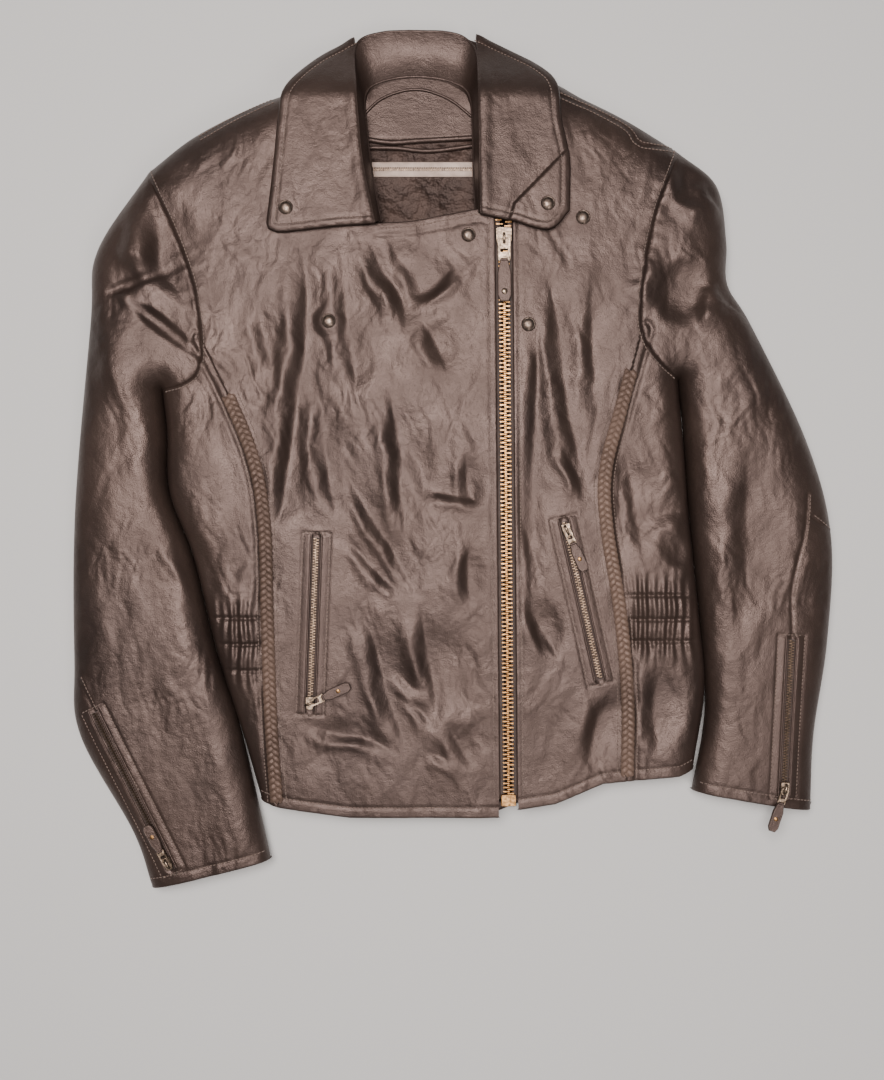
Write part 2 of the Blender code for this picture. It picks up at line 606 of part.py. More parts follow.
def make_studs():
    radius, thickness = 0.0060, 0.0018
    caps = {}
    for name, x, y in (("right_collar_snap_cap", -0.143, 0.212), ("left_collar_snap_cap", 0.082, 0.215)):
        at = Vector((x, y, leaf_height(Vector((x, y))) + CLEARANCE))
        caps[name] = disc(name, at, radius, thickness, "dark_metal")
    for name, x, y in (("right_chest_snap", -0.107, 0.116), ("left_chest_snap", 0.066, 0.113),
                       ("lapel_snap", 0.014, 0.190), ("left_neck_snap", 0.113, 0.205)):
        at = Vector((x, y, top_height(Vector((x, y))) + CLEARANCE))
        disc(name, at, radius, thickness, "dark_metal")
    return caps


# Inside -----------------------------------------------------------------------------------------

def make_inside(curves):
    below = -LEATHER - 0.0075
    step = 0.045
    right = [Vector(p) for p in ((-0.228, 0.050), (-0.205, 0.215), (-0.130, 0.265), (-0.088, 0.262),
                                 (-0.076, 0.196), (0.026, 0.196), (0.031, -0.285), (-0.140, -0.285),
                                 (-0.158, -0.180))]
    left = [Vector(p) for p in ((0.184, 0.055), (0.150, 0.130), (0.160, 0.230), (0.095, 0.270),
                                (0.033, 0.262), (0.040, 0.222), (0.067, 0.205), (0.070, -0.280),
                                (0.142, -0.262), (0.142, -0.180))]
    panel("right_front_lining", closed_outline(right), raised(below), "lining_fabric", LINING, step=step,
          rings=())
    panel("left_front_lining", closed_outline(left), raised(below), "lining_fabric", LINING, step=step,
          rings=())
    back = [Vector(p) for p in ((-0.215, 0.050), (-0.200, 0.150), (-0.185, 0.215), (-0.120, 0.250),
                                (-0.045, 0.256), (0.010, 0.256), (0.100, 0.250), (0.145, 0.215),
                                (0.140, 0.130), (0.160, 0.055), (0.172, -0.180), (0.165, -0.250),
                                (0.060, -0.285), (-0.120, -0.285), (-0.160, -0.180))]
    above = LEATHER + 0.0030
    panel("back_lining", closed_outline(back), raised(above, bottom_height), "lining_fabric", LINING,
          step=step, rings=())
    strip = [Vector(p) for p in rectangle(-0.076, 0.014, 0.2585, 0.2705)]
    panel("liner_zip_strip", closed_outline(strip), raised(above, bottom_height), "grey_zip", 0.0014,
          rings=())
    facing = [Vector(p) for p in ((-0.070, 0.273), (0.008, 0.273), (0.012, 0.300), (-0.006, 0.321),
                                  (-0.033, 0.326), (-0.058, 0.321), (-0.072, 0.300))]
    panel("neck_facing", closed_outline(facing), raised(above, bottom_height), "black_leather", 0.0014,
          rings=())
    for side, left, right in (("right", -0.112, -0.032), ("left", 0.066, 0.130)):
        bag = [Vector(p) for p in rectangle(left, right, -0.225, -0.070)]
        panel(f"{side}_pocket_bag", closed_outline(bag), raised(-LEATHER - 0.0030), "black_fabric", 0.0022,
              step=step, rings=())


def main():
    for obj in list(bpy.data.objects):
        bpy.data.objects.remove(obj)
    curves = make_curves()
    make_torso(curves)
    make_torso_trim(curves)
    make_inside(curves)
    make_main_zip()
    sleeves = {}
    for side, shoulder in (("right", RIGHT_SHOULDER[-1]), ("left", LEFT_SHOULDER[-1])):
        pieces = make_sleeve(side, curves)
        sleeves[f"{side}_sleeve"] = hang_on(f"{side}_sleeve_pivot", (*shoulder, 0.0), pieces)
    for name, (start, end, share, direction, parent) in SMALL_ZIPS.items():
        strip = make_small_zip(name, start, end, share, direction, sleeves.get(parent))
        if parent:
            strip.parent = sleeves[parent]
            strip.matrix_parent_inverse = sleeves[parent].matrix_world.inverted()
    right_leaf, left_leaf = make_collar(curves)
    caps = make_studs()
    for leaf, roll, cap in ((right_leaf, RIGHT_ROLL, "right_collar_snap_cap"),
                            (left_leaf, LEFT_ROLL, "left_collar_snap_cap")):
        hinge = Vector(roll[-1])
        hang_on(f"{leaf.name}_pivot", (hinge.x, hinge.y, leaf_height(hinge)), [leaf, caps[cap]])


main()
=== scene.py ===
"""Looks of the leather riding jacket: creased leather panels, brass zips, braids, studs and lining.

Metres, in the frame of the CAD model: +Z up from the floor, +Y to the collar, right-hand pieces at -X.
Every panel is a fine mesh over its plan outline, lifted to one shared surface that carries the
rounded borders, the folds, the seams and the creases of the leather.
"""
import math

import bmesh
import bpy
import numpy as np
from mathutils import Matrix, Vector
from mathutils.geometry import delaunay_2d_cdt


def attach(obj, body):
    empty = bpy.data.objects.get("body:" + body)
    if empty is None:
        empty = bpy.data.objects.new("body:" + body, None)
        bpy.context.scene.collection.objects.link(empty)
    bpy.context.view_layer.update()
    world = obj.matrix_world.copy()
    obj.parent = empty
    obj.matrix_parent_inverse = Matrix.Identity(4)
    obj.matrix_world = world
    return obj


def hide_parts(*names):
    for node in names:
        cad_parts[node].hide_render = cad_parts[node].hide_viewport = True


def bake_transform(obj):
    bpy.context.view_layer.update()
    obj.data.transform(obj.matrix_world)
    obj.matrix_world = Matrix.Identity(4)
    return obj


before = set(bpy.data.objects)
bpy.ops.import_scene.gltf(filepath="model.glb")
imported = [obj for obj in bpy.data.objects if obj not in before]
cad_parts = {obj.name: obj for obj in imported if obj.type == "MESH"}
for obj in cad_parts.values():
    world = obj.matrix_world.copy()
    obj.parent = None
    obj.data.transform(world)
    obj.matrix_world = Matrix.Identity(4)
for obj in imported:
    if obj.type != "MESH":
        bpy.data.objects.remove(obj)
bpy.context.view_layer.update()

SIDES = ("right", "left")

# Sizes shared with the CAD model
CROWN_AT_ORIGIN = 0.0415      # height of the upper surface over the origin
CROWN_SLOPE = 0.0275          # its rise per metre towards the collar
EDGE_HEIGHT = 0.014           # height of the silhouette where upper and lower shells meet
TOP_ROUND = 0.045             # width of the rounded border of the upper surface
SIDE_ROUND = 0.028            # the same where a sleeve lies against the body
UNDER_ROUND = 0.022           # width of the rounded border of the lower surface
ROUND_POWER = 2.3
TOOTH_PITCH = 0.00363
SMALL_TOOTH_PITCH = 0.0024
ZIP_OPENING = 0.0085          # from the middle of the main zip to the edge of each front
MAIN_ZIP = ((0.0445, 0.205), (0.0495, -0.296))
MAIN_SLIDER = 0.018           # from the top of the main zip to its slider
MAIN_LINK = (0.020, 0.0055)   # length and half-width of a pull link
SMALL_LINK = (0.014, 0.0034)
MAIN_TAB = (0.034, 0.0058)    # length and half-width of a leather tab
SMALL_TAB = (0.024, 0.0046)
MAIN_RIVET = 0.046            # from the slider's bail to the rivet in its tab
BRAID_PITCH = 0.0165          # one full plait of a braid
HEM_WIDTH = 0.0080            # from an edge to the stitches of its hem
ZIP_STITCH = 0.0040           # from the edge of a front to its stitches
WELT_HALF = 0.0118            # half the width of the stitched frame around a small zip
WELT_END = 0.0045             # how far that frame reaches past the ends of the zip
LEAF_STITCH = 0.0062          # from the border of a collar leaf to its stitches
LEAF_HEIGHT = 0.0535          # of the collar leaves over the floor
FINE = 0.0017                 # spacing of the points of a panel that shows
SEAM_ALLOWANCE = 0.010        # what a cut panel has beyond its seams
COARSE = 0.0050               # spacing of the points of a panel that is underneath or inside

# Outlines of the panels in plan, in millimetres
RIGHT_SHOULDER = ((-84, 325), (-147, 319), (-221, 286), (-268, 251))
RIGHT_SLEEVE_OUTER = ((-268, 251), (-314, 181), (-320, 118), (-334, -45), (-335, -179), (-330, -246),
                      (-283, -332), (-266, -381))
RIGHT_SLEEVE_INNER = ((-256, 58), (-252.8, 20), (-250.8, -32), (-229.8, -89), (-209.8, -170), (-187, -243),
                      (-161, -355))
RIGHT_ARMHOLE = ((-268, 251), (-243, 198), (-224, 146), (-218, 100), (-221, 74), (-234, 62), (-256, 58))
RIGHT_TORSO_EDGE = ((-256, 58), (-252, 20), (-250, -32), (-229, -89), (-209, -170), (-186, -243),
                    (-169, -302))
RIGHT_PRINCESS = ((-218, 100), (-194, 51), (-172, -5), (-163, -61), (-161, -139), (-158, -230), (-153, -307))
LEFT_SHOULDER = ((23, 325), (77, 333), (117, 315), (155, 296), (199, 269))
LEFT_SLEEVE_OUTER = ((199, 269), (234, 239), (243, 190), (244, 152), (265, 116), (314, 14), (336, -70),
                     (333, -162), (321, -245), (318, -312))
LEFT_SLEEVE_INNER = ((200, 67), (204.2, 35), (206.8, -1), (210.8, -54), (219.8, -140), (224.8, -205),
                     (222.5, -245), (213, -294))
LEFT_ARMHOLE = ((199, 269), (177, 211), (165, 150), (165, 108), (180, 82), (200, 67))
LEFT_TORSO_EDGE = ((200, 67), (206, -1), (210, -54), (219, -140), (224, -205), (214, -274))
LEFT_PRINCESS = ((165, 108), (146, 39), (133, -14), (134, -60), (146, -135), (153, -210), (153, -284))
BACK_NECK = ((23, 325), (-30, 337), (-84, 325))
HEM = ((-169, -302), (-153, -307), (-89, -316), (41, -316), (58, -309),
       (90, -304), (132, -286), (153, -284), (199, -280), (214, -274))
RIGHT_FLAP = ((34, 208), (25, 211.5), (0, 207.5), (-35, 201), (-67, 199))
RIGHT_NECK_EDGE = ((-67, 199), (-76, 240), (-81, 285), (-84, 325))
LEFT_NECK_EDGE = ((53, 205), (44, 213), (29, 222), (24.5, 270), (23, 325))

FOLD_WIDTH = 1.30             # breadth and depth of the folds against the sizes listed with them
FOLD_DEPTH = 1.30
DEEPEST_FOLD = 0.0075         # valleys that cross stay above the lining

# Folds in millimetres: points along each one, its height (a valley is negative) and its half-width
FOLDS = (
    (((-132, 191), (-126, 147), (-128, 87), (-137, 32), (-148, -54)), -4.5, 6),
    (((-170, 132), (-161, 97), (-152, 65)), -2, 5),
    (((-131, 49), (-140, 2), (-153, -76)), -3, 5),
    (((-124, 62), (-112, 39), (-110, -1), (-104, -34), (-98, -61)), -4, 6),
    (((-57, 67), (-50, 33), (-44, -1), (-44, -40), (-35, -81)), -4, 6),
    (((-97, -1), (-83, -32), (-68, -58), (-50, -85), (-25, -135)), -2.5, 4),
    (((-104, -68), (-83, -82), (-63, -104), (-32, -129)), -2, 4),
    (((-46, 11), (-37, 6), (-26, -14), (-25, -47)), -3, 5),
    (((-26, -32), (4, -34), (31, -43)), -2.5, 4),
    (((13, 6), (14, -27), (24, -47)), -2.5, 4),
    (((18, -75), (13, -95), (16, -135)), -2.5, 4),
    (((-89, -126), (-69, -158), (-57, -204), (-41, -252), (-35, -268)), -3.5, 6),
    (((-27, -126), (-23, -158), (-15, -204), (-13, -239)), -4, 6),
    (((-151, -212), (-132, -228), (-104, -242), (-75, -247), (-37, -266)), -2.5, 4),
    (((-57, -182), (-32, -204), (-13, -204)), -2, 4),
    (((-41, -204), (-13, -242)), -2, 4),
    (((-5, -232), (20, -276)), -2.5, 5),
    (((-24, -258), (9, -270)), -1.5, 4),
    (((-74, 192), (-60, 162), (-43, 135), (-40, 100)), -5.5, 6),
    (((-62, 196), (-46, 172), (-30, 150), (-22, 120)), -3, 5),
    (((-27, 117), (-14, 98), (-2, 69)), -3, 5),
    (((-42, 137), (-20, 146), (4, 166)), -4.5, 5),
    (((-95, 190), (-93, 140), (-86, 85), (-80, 30)), -3, 6),
    (((59, 108), (56, 50), (58, -27), (62, -54), (68, -95), (68, -144)), -4, 5),
    (((71, 130), (75, 79), (70, -1), (68, -40)), -3, 5),
    (((78, 169), (85, 145), (93, 108), (100, 50), (111, -4), (124, -47)), -4, 6),
    (((120, 154), (122, 94), (126, 35), (118, -7)), -3.5, 6),
    (((92, 13), (111, -21), (113, -47)), -2.5, 4),
    (((65, -109), (69, -138), (84, -182)), -2.5, 5),
    (((62, -128), (75, -146), (97, -182)), -2.5, 5),
    (((146, -171), (137, -211), (126, -239), (118, -283)), -3.5, 6),
    (((159, 39), (150, 13), (146, -27), (150, -81), (156, -121)), -3.5, 5),
    (((150, 9), (162, -54), (168, -101)), -3, 5),
    (((164, -54), (187, -49), (207, -47)), -3, 6),
    (((186, -95), (210, -78)), -3, 6),
    (((184, -171), (177, -225), (184, -268)), -4, 7),
    (((-244, -64), (-221, -104), (-203, -134)), -3.5, 6),
    (((-262, 239), (-254, 193), (-250, 162), (-226, 124)), -5, 8),
    (((-294, 179), (-274, 173), (-254, 164)), 4, 9),
    (((-254, 125), (-265, 111)), -4, 11),
    (((-292, 151), (-287, 137)), -3, 11),
    (((-308, 140), (-298, 87), (-281, 32)), 3, 9),
    (((232, 238), (213, 228), (207, 190)), 5, 8),
    (((203, 254), (209, 206)), -5, 7),
    (((199, 175), (193, 146), (187, 112)), -7, 10),
    (((237, 152), (223, 138), (217, 103)), 5, 8),
    (((258, 14), (257, -39), (257, -91), (253, -161)), -3, 8),
)


# Curves and fields ------------------------------------------------------------------------------

def mm(points):
    """Points given in millimetres, as an array in metres."""
    return np.asarray(points, float) / 1000


def spline(points, step=0.006):
    """A Catmull-Rom curve through the points as an array of points about one step apart."""
    ring = np.asarray(points, float)
    ring = np.vstack([2 * ring[0] - ring[1], ring, 2 * ring[-1] - ring[-2]])
    rows = []
    for before, start, end, after in zip(ring, ring[1:], ring[2:], ring[3:]):
        count = max(1, math.ceil(np.linalg.norm(end - start) / step))
        t = (np.arange(count) / count)[:, None]
        square = 2 * before - 5 * start + 4 * end - after
        cube = 3 * start - before - 3 * end + after
        rows.append(0.5 * (2 * start + (end - before) * t + square * t ** 2 + cube * t ** 3))
    return np.vstack(rows + [ring[-2:-1]])


def nearest_on(points, curve):
    """For each point: distance to the curve, length along it, side (1 is left of it) and the foot."""
    best = np.full(len(points), np.inf)
    along = np.zeros(len(points))
    side = np.ones(len(points))
    foot = np.zeros((len(points), 2))
    run = 0.0
    for start, end in zip(curve, curve[1:]):
        step = end - start
        length = np.linalg.norm(step)
        if length < 1e-9:
            continue
        away = points - start
        share = np.clip(away @ step / length ** 2, 0, 1)
        near = start + share[:, None] * step
        distance = np.hypot(*(points - near).T)
        closer = distance < best
        best[closer] = distance[closer]
        along[closer] = (run + share * length)[closer]
        side[closer] = np.sign(step[0] * away[:, 1] - step[1] * away[:, 0] + 1e-12)[closer]
        foot[closer] = near[closer]
        run += length
    return best, along, side, foot


def smoothstep(low, high, value):
    t = np.clip((value - low) / (high - low), 0, 1)
    return t * t * (3 - 2 * t)


def noise(points, size, seed):
    """Smooth gradient noise from about -1 to 1 with cells of the given size."""
    size = np.broadcast_to(np.asarray(size, float), (2,))
    cell = points / size + 1000.0
    whole = np.floor(cell).astype(int)
    part = cell - whole
    angles = np.random.default_rng(seed).uniform(0, 2 * math.pi, (97, 89))
    ease = part ** 3 * (part * (part * 6 - 15) + 10)
    corners = []
    for dx, dy in ((0, 0), (1, 0), (0, 1), (1, 1)):
        angle = angles[(whole[:, 0] + dx) % 97, (whole[:, 1] + dy) % 89]
        corners.append(np.cos(angle) * (part[:, 0] - dx) + np.sin(angle) * (part[:, 1] - dy))
    low = corners[0] + (corners[1] - corners[0]) * ease[:, 0]
    high = corners[2] + (corners[3] - corners[2]) * ease[:, 0]
    return 1.5 * (low + (high - low) * ease[:, 1])


def turned(points, degrees):
    turn = math.radians(degrees)
    return points @ np.array([[math.cos(turn), -math.sin(turn)], [math.sin(turn), math.cos(turn)]])


CURVES = {
    "right_shoulder": RIGHT_SHOULDER, "right_outer": RIGHT_SLEEVE_OUTER, "right_inner": RIGHT_SLEEVE_INNER,
    "right_armhole": RIGHT_ARMHOLE, "right_edge": RIGHT_TORSO_EDGE, "right_princess": RIGHT_PRINCESS,
    "left_shoulder": LEFT_SHOULDER, "left_outer": LEFT_SLEEVE_OUTER, "left_inner": LEFT_SLEEVE_INNER,
    "left_armhole": LEFT_ARMHOLE, "left_edge": LEFT_TORSO_EDGE, "left_princess": LEFT_PRINCESS,
    "back_neck": BACK_NECK, "right_flap": RIGHT_FLAP, "right_neck": RIGHT_NECK_EDGE,
    "left_neck": LEFT_NECK_EDGE,
    "right_yoke_seam": ((-221, 276), (-188, 295), (-152, 312)),
    "left_yoke_seam": ((89, 314), (125, 299), (153, 283), (163, 269), (199, 268)),
    "right_elbow_seam": ((-328, -194), (-312, -225), (-297, -255), (-274, -297)),
    "left_sleeve_seam": ((310, -33), (307, -68), (297, -115), (297, -162)),
    "left_elbow_seam": ((314, -54), (338, -70)),
}
CURVES = {name: spline(mm(points)) for name, points in CURVES.items()}
CURVES["hem"] = mm(HEM)
SEAMS = ("right_armhole", "left_armhole", "right_yoke_seam", "left_yoke_seam", "right_elbow_seam",
         "left_sleeve_seam", "left_elbow_seam")
SILHOUETTE_NAMES = [f"{side}_{edge}" for side in SIDES for edge in ("shoulder", "outer", "inner", "edge")]
BRAID_STARTS = {"right": mm((-194, 51)), "left": mm((158, 74))}

# Elastic waists: left and right end and the heights of the rows of stitching
GATHERS = ((-0.217, -0.166, (-0.188, -0.165, -0.142)), (0.152, 0.216, (-0.162, -0.143, -0.122)))

# Small zips: both ends, place of the slider along them, direction of its pull, body, lift of the slider
SMALL_ZIPS = {
    "right_pocket": (mm(((-118, -72), (-124, -222))), 0.957, 24.0, "torso", 0.0006),
    "left_pocket": (mm(((97.5, -58), (129, -195))), 0.052, -66.0, "torso", 0.0006),
    "right_cuff": (mm(((-313, -225), (-246, -362))), 0.960, 118.0, "right_sleeve", 0.0005),
    "left_cuff": (mm(((296, -161), (290, -296))), 0.960, -108.0, "left_sleeve", 0.0006),
}
SMALL_ZIP_LINES = [ends for ends, *_ in SMALL_ZIPS.values()]
STUDS = {"right_chest_snap": mm((-107, 116)), "left_chest_snap": mm((66, 113)),
         "lapel_snap": mm((14, 190)), "left_neck_snap": mm((113, 205))}
LEAF_STUDS = {"right": mm((-143, 212)), "left": mm((82, 215))}


def cuff_line(side):
    """Where the hem of a cuff is stitched."""
    ends = np.array([CURVES[f"{side}_outer"][-1], CURVES[f"{side}_inner"][-1]])
    rise = np.array([-(ends[1] - ends[0])[1], (ends[1] - ends[0])[0]])
    return ends + HEM_WIDTH * rise / np.hypot(*rise) * np.sign(rise[1])


CUFF_LINES = {side: cuff_line(side) for side in SIDES}


def crown(y):
    return CROWN_AT_ORIGIN + CROWN_SLOPE * y


def to_silhouette(points):
    """Distance to the nearest silhouette line, and that line's nearest point."""
    best = np.full(len(points), np.inf)
    foot = np.zeros((len(points), 2))
    for name in SILHOUETTE_NAMES:
        distance, _, _, near = nearest_on(points, CURVES[name])
        closer = distance < best
        best[closer] = distance[closer]
        foot[closer] = near[closer]
    return best, foot


def fullness(share):
    """How far a rounded border has risen, from 0 at the silhouette to 1 where the border ends."""
    rest = 1 - np.clip(share, 0, 1)
    return (1 - rest ** ROUND_POWER) ** (1 / ROUND_POWER)


def border_share(points):
    """Distance from the silhouette against the local width of the rounded border."""
    share = np.full(len(points), np.inf)
    for name in SILHOUETTE_NAMES:
        reach = SIDE_ROUND if name.endswith(("inner", "edge")) else TOP_ROUND
        share = np.minimum(share, nearest_on(points, CURVES[name])[0] / reach)
    return share


def fold_height(points, line, height, width):
    """A fold that falls steeply from a crest on one side and rises gently on the other."""
    curve = spline(mm(line), 0.008)
    width = FOLD_WIDTH * mm(width)
    height = FOLD_DEPTH * mm(height)
    low, high = curve.min(0) - 6 * width, curve.max(0) + 6 * width
    chosen = np.all((points > low) & (points < high), axis=1)
    result = np.zeros(len(points))
    if not chosen.any():
        return result
    distance, along, side, _ = nearest_on(points[chosen], curve)
    total = length_of(curve)
    fade = smoothstep(0, 0.42, along / total) * smoothstep(0, 0.42, 1 - along / total)
    wobble = 1 + 0.25 * noise(points[chosen], 0.026, 5)
    distance = distance * wobble
    reach = width * np.where(side > 0, 2.7, 0.85) * (0.45 + 0.55 * fade)
    valley = np.exp(-(distance / reach) ** 1.7)
    crest = 0.45 * np.exp(-((distance - 1.9 * width) / (0.9 * width)) ** 2) * (side < 0)
    result[chosen] = height * fade * (valley - crest)
    return result


def ridges(points, size, seed, start):
    """Narrow ridges where noise crosses zero, from 0 up to 1 - start."""
    return np.clip(1 - np.abs(noise(points, size, seed)) - start, 0, 1)


def creases(points):
    """Soft undulations and sharp little wrinkles of worn leather."""
    bent = points + 0.008 * np.column_stack([noise(points, 0.035, 11), noise(points, 0.035, 12)])
    soft = 0.0011 * noise(turned(bent, 12), (0.034, 0.075), 21)
    soft += 0.0007 * noise(turned(bent, -24), (0.017, 0.046), 22)
    amount = 0.35 + 0.65 * smoothstep(-0.3, 0.6, noise(points, 0.08, 33))
    sharp = -0.00042 * amount * ridges(turned(bent, 18), (0.013, 0.040), 31, 0.70) / 0.30
    sharp -= 0.00030 * amount * ridges(turned(bent, -38), (0.010, 0.030), 32, 0.72) / 0.28
    sharp -= 0.0006 * amount * ridges(turned(bent, 17), (0.020, 0.085), 34, 0.62) / 0.38
    sharp += 0.0004 * amount * ridges(turned(bent, -9), (0.016, 0.070), 35, 0.70) / 0.30
    return soft + sharp + 0.00010 * noise(bent, 0.0055, 41)


def seam_height(points, curve, depth=0.0012, pucker=0.0006):
    """A stitched seam: a narrow groove with little puckers on both sides."""
    distance, along, _, _ = nearest_on(points, curve)
    line = np.column_stack([along, distance])
    puckers = noise(line, (0.0085, 0.030), 51) * np.exp(-(distance / 0.011) ** 2)
    return pucker * puckers - depth * np.exp(-(distance / 0.0016) ** 2)


def gather_height(points, gather):
    """Elastic waist: narrow upright pleats held by rows of stitching, fanning out above and below."""
    left, right, rows = gather
    chosen = (points[:, 0] > left - 0.02) & (points[:, 0] < right + 0.02)
    chosen &= (points[:, 1] > rows[0] - 0.07) & (points[:, 1] < rows[-1] + 0.07)
    x, y = points[chosen].T
    middle = (left + right) / 2
    off = y - np.clip(y, rows[0], rows[-1])
    fan = 1 + 5.0 * np.abs(off)
    across = (x - middle) / fan + 0.0016 * noise(points[chosen], (0.02, 0.03), 61)
    pleats = np.cos(2 * math.pi * across / 0.0078) + 0.45 * np.cos(2 * math.pi * across / 0.0127 + 1.1)
    strength = np.exp(-(off / 0.015) ** 2)
    strength *= smoothstep(left - 0.010, left + 0.010, x) * (1 - smoothstep(right - 0.010, right + 0.010, x))
    dips = sum(np.exp(-((y - row) / 0.0014) ** 2) for row in rows)
    result = np.zeros(len(points))
    puffs = sum(np.exp(-((y - (low + high) / 2) / 0.0075) ** 2) for low, high in zip(rows, rows[1:]))
    result[chosen] = strength * (0.0012 * pleats + 0.0013 * puffs - 0.0022 * dips)
    return result


def trough_height(points, ends):
    """The opening that a small zip lies in: a shallow trough between two raised welts."""
    away = nearest_on(points, ends)[0]
    inner = 1 - smoothstep(0.0032, 0.0050, away)
    outer = np.exp(-((away - 0.0062) / 0.0016) ** 2)
    return -0.0016 * inner + 0.0005 * outer


def frame_height(points, ends):
    """The stitched frame around a small zip: a groove along its border."""
    start, end = ends
    reach = np.hypot(*(end - start)) / 2
    along = (end - start) / (2 * reach)
    away = points - (start + end) / 2
    u, v = np.abs(away @ along), np.abs(away @ np.array([-along[1], along[0]]))
    border = np.maximum(u - reach - WELT_END, v - WELT_HALF)
    return -0.0009 * np.exp(-(border / 0.0011) ** 2)


def calmness(points):
    """How much of the folds and creases is left beside the zips and studs, from 0 to 1."""
    calm = np.ones(len(points))
    for ends in SMALL_ZIP_LINES:
        calm *= smoothstep(0.008, 0.030, nearest_on(points, ends)[0])
    for side in (-1, 1):
        calm *= 0.25 + 0.75 * smoothstep(0.0, 0.020, nearest_on(points, zip_edge(side))[0])
    for stud in STUDS.values():
        calm *= smoothstep(0.005, 0.016, np.hypot(*(points - stud).T))
    return calm


def relief(points):
    """Everything that lifts or lowers the leather: folds, creases, seams, hems, gathers and zips."""
    height = creases(points)
    for line, rise, width in FOLDS:
        height += fold_height(points, line, rise, width)
    height = np.where(height < 0, -DEEPEST_FOLD * np.tanh(-height / DEEPEST_FOLD), height)
    height *= calmness(points)
    for ends in SMALL_ZIP_LINES:
        height += frame_height(points, ends)
    for line in (CURVES["hem"] + np.array([0, HEM_WIDTH]), *CUFF_LINES.values(),
                 beside(CURVES["right_flap"], 0.0095)):
        height += seam_height(points, line, 0.0007, 0.0003)
    for side in (-1, 1):
        height += seam_height(points, zip_edge(side, ZIP_STITCH), 0.0005, 0.0002)
    for name in SEAMS:
        height += seam_height(points, CURVES[name])
    for name, outside in (("right_princess", -1), ("left_princess", 1)):
        away, _, side, _ = nearest_on(points, CURVES[name])
        height -= 0.0016 * np.exp(-((away - 0.0080) / 0.0024) ** 2) * (side * outside > 0)
    for gather in GATHERS:
        height += gather_height(points, gather)
    for ends in SMALL_ZIP_LINES:
        height += trough_height(points, ends)
    return height


def top_surface(points):
    """Heights of the upper surface, with the border pulled out to its rounded edge."""
    distance, _ = to_silhouette(points)
    crest = crown(points[:, 1]) + relief(points) * smoothstep(0, 0.014, distance)
    return EDGE_HEIGHT + (crest - EDGE_HEIGHT) * fullness(border_share(points))


def plain_top(points):
    """The upper surface without folds, for what lies under the leather."""
    return EDGE_HEIGHT + (crown(points[:, 1]) - EDGE_HEIGHT) * fullness(border_share(points))


def plain_under(points):
    return EDGE_HEIGHT * (1 - fullness(to_silhouette(points)[0] / UNDER_ROUND))


def under_surface(points):
    """Heights of the lower surface, slightly creased near its border and flat on the floor."""
    distance, _ = to_silhouette(points)
    return plain_under(points) + (0.5 * np.abs(creases(points)) * smoothstep(0.004, 0.015, distance)
                                  * (distance < UNDER_ROUND))


# Meshes -----------------------------------------------------------------------------------------

def closed_loop(*stretches):
    """One anticlockwise loop of points from stretches laid end to end."""
    loop = []
    for point in np.vstack(stretches):
        if not loop or np.hypot(*(point - loop[-1])) > 2e-4:
            loop.append(point)
    while np.hypot(*(loop[0] - loop[-1])) < 2e-4:
        loop.pop()
    loop = np.array(loop)
    after = np.roll(loop, -1, axis=0)
    area = np.sum(loop[:, 0] * after[:, 1] - after[:, 0] * loop[:, 1])
    return loop if area > 0 else loop[::-1]


def divided(loop, step):
    rows = []
    for start, end in zip(loop, np.roll(loop, -1, axis=0)):
        count = max(1, round(np.hypot(*(end - start)) / step))
        rows.append(start + (np.arange(count) / count)[:, None] * (end - start))
    return np.vstack(rows)


def inside(points, loop):
    result = np.zeros(len(points), bool)
    for start, end in zip(loop, np.roll(loop, -1, axis=0)):
        if start[1] == end[1]:
            continue
        crosses = (start[1] > points[:, 1]) != (end[1] > points[:, 1])
        at = start[0] + (points[:, 1] - start[1]) / (end[1] - start[1]) * (end[0] - start[0])
        result ^= crosses & (at > points[:, 0])
    return result


def plan_mesh(outline, step):
    """Points and triangles that fill an outline evenly; the outline's own points come first."""
    loop = divided(outline, step)
    low, high = loop.min(0), loop.max(0)
    rows = np.arange(low[1], high[1], step * 0.87)
    columns = np.arange(low[0] - step, high[0], step)
    grid = np.stack(np.meshgrid(columns, rows), -1)
    grid[1::2, :, 0] += step / 2
    grid = grid.reshape(-1, 2)
    grid = grid[inside(grid, loop)]
    distance = nearest_on(grid, np.vstack([loop, loop[:1]]))[0]
    grid = grid[distance > 0.6 * step]
    points = np.vstack([loop, grid])
    found, _, faces, *_ = delaunay_2d_cdt([Vector(p) for p in points], [], [list(range(len(loop)))], 1, 1e-7)
    return np.array([tuple(p) for p in found]), [tuple(face) for face in faces], len(loop)


def pull_to_silhouette(points, reach=0.016, power=1.6):
    """Crowds points towards the rounded border, where the surface turns down steeply."""
    distance, foot = to_silhouette(points)
    near = (distance < reach) & (distance > 1e-5)
    share = (distance[near] / reach) ** (power - 1)
    moved = points.copy()
    moved[near] = foot[near] + (points[near] - foot[near]) * share[:, None]
    return moved


def new_mesh(name, verts, faces, smooth=True):
    mesh = bpy.data.meshes.new(name)
    mesh.from_pydata([tuple(v) for v in verts], [], faces)
    mesh.update()
    if smooth:
        mesh.shade_smooth()
    obj = bpy.data.objects.new(name, mesh)
    bpy.context.collection.objects.link(obj)
    return obj


# Steps outwards and downwards of an edge that turns under, as a rolled hem or sharply at a seam
HEM_ROLL = mm(((0.6, -0.2), (1.1, -0.8), (1.2, -1.6), (0.6, -2.4), (-1.2, -2.8), (-6, -3)))
SEAM_TURN = mm(((0.1, -0.5), (0, -1.2), (-0.8, -2), (-1.6, -2.8), (-2.4, -3.6), (-3.2, -4.4)))


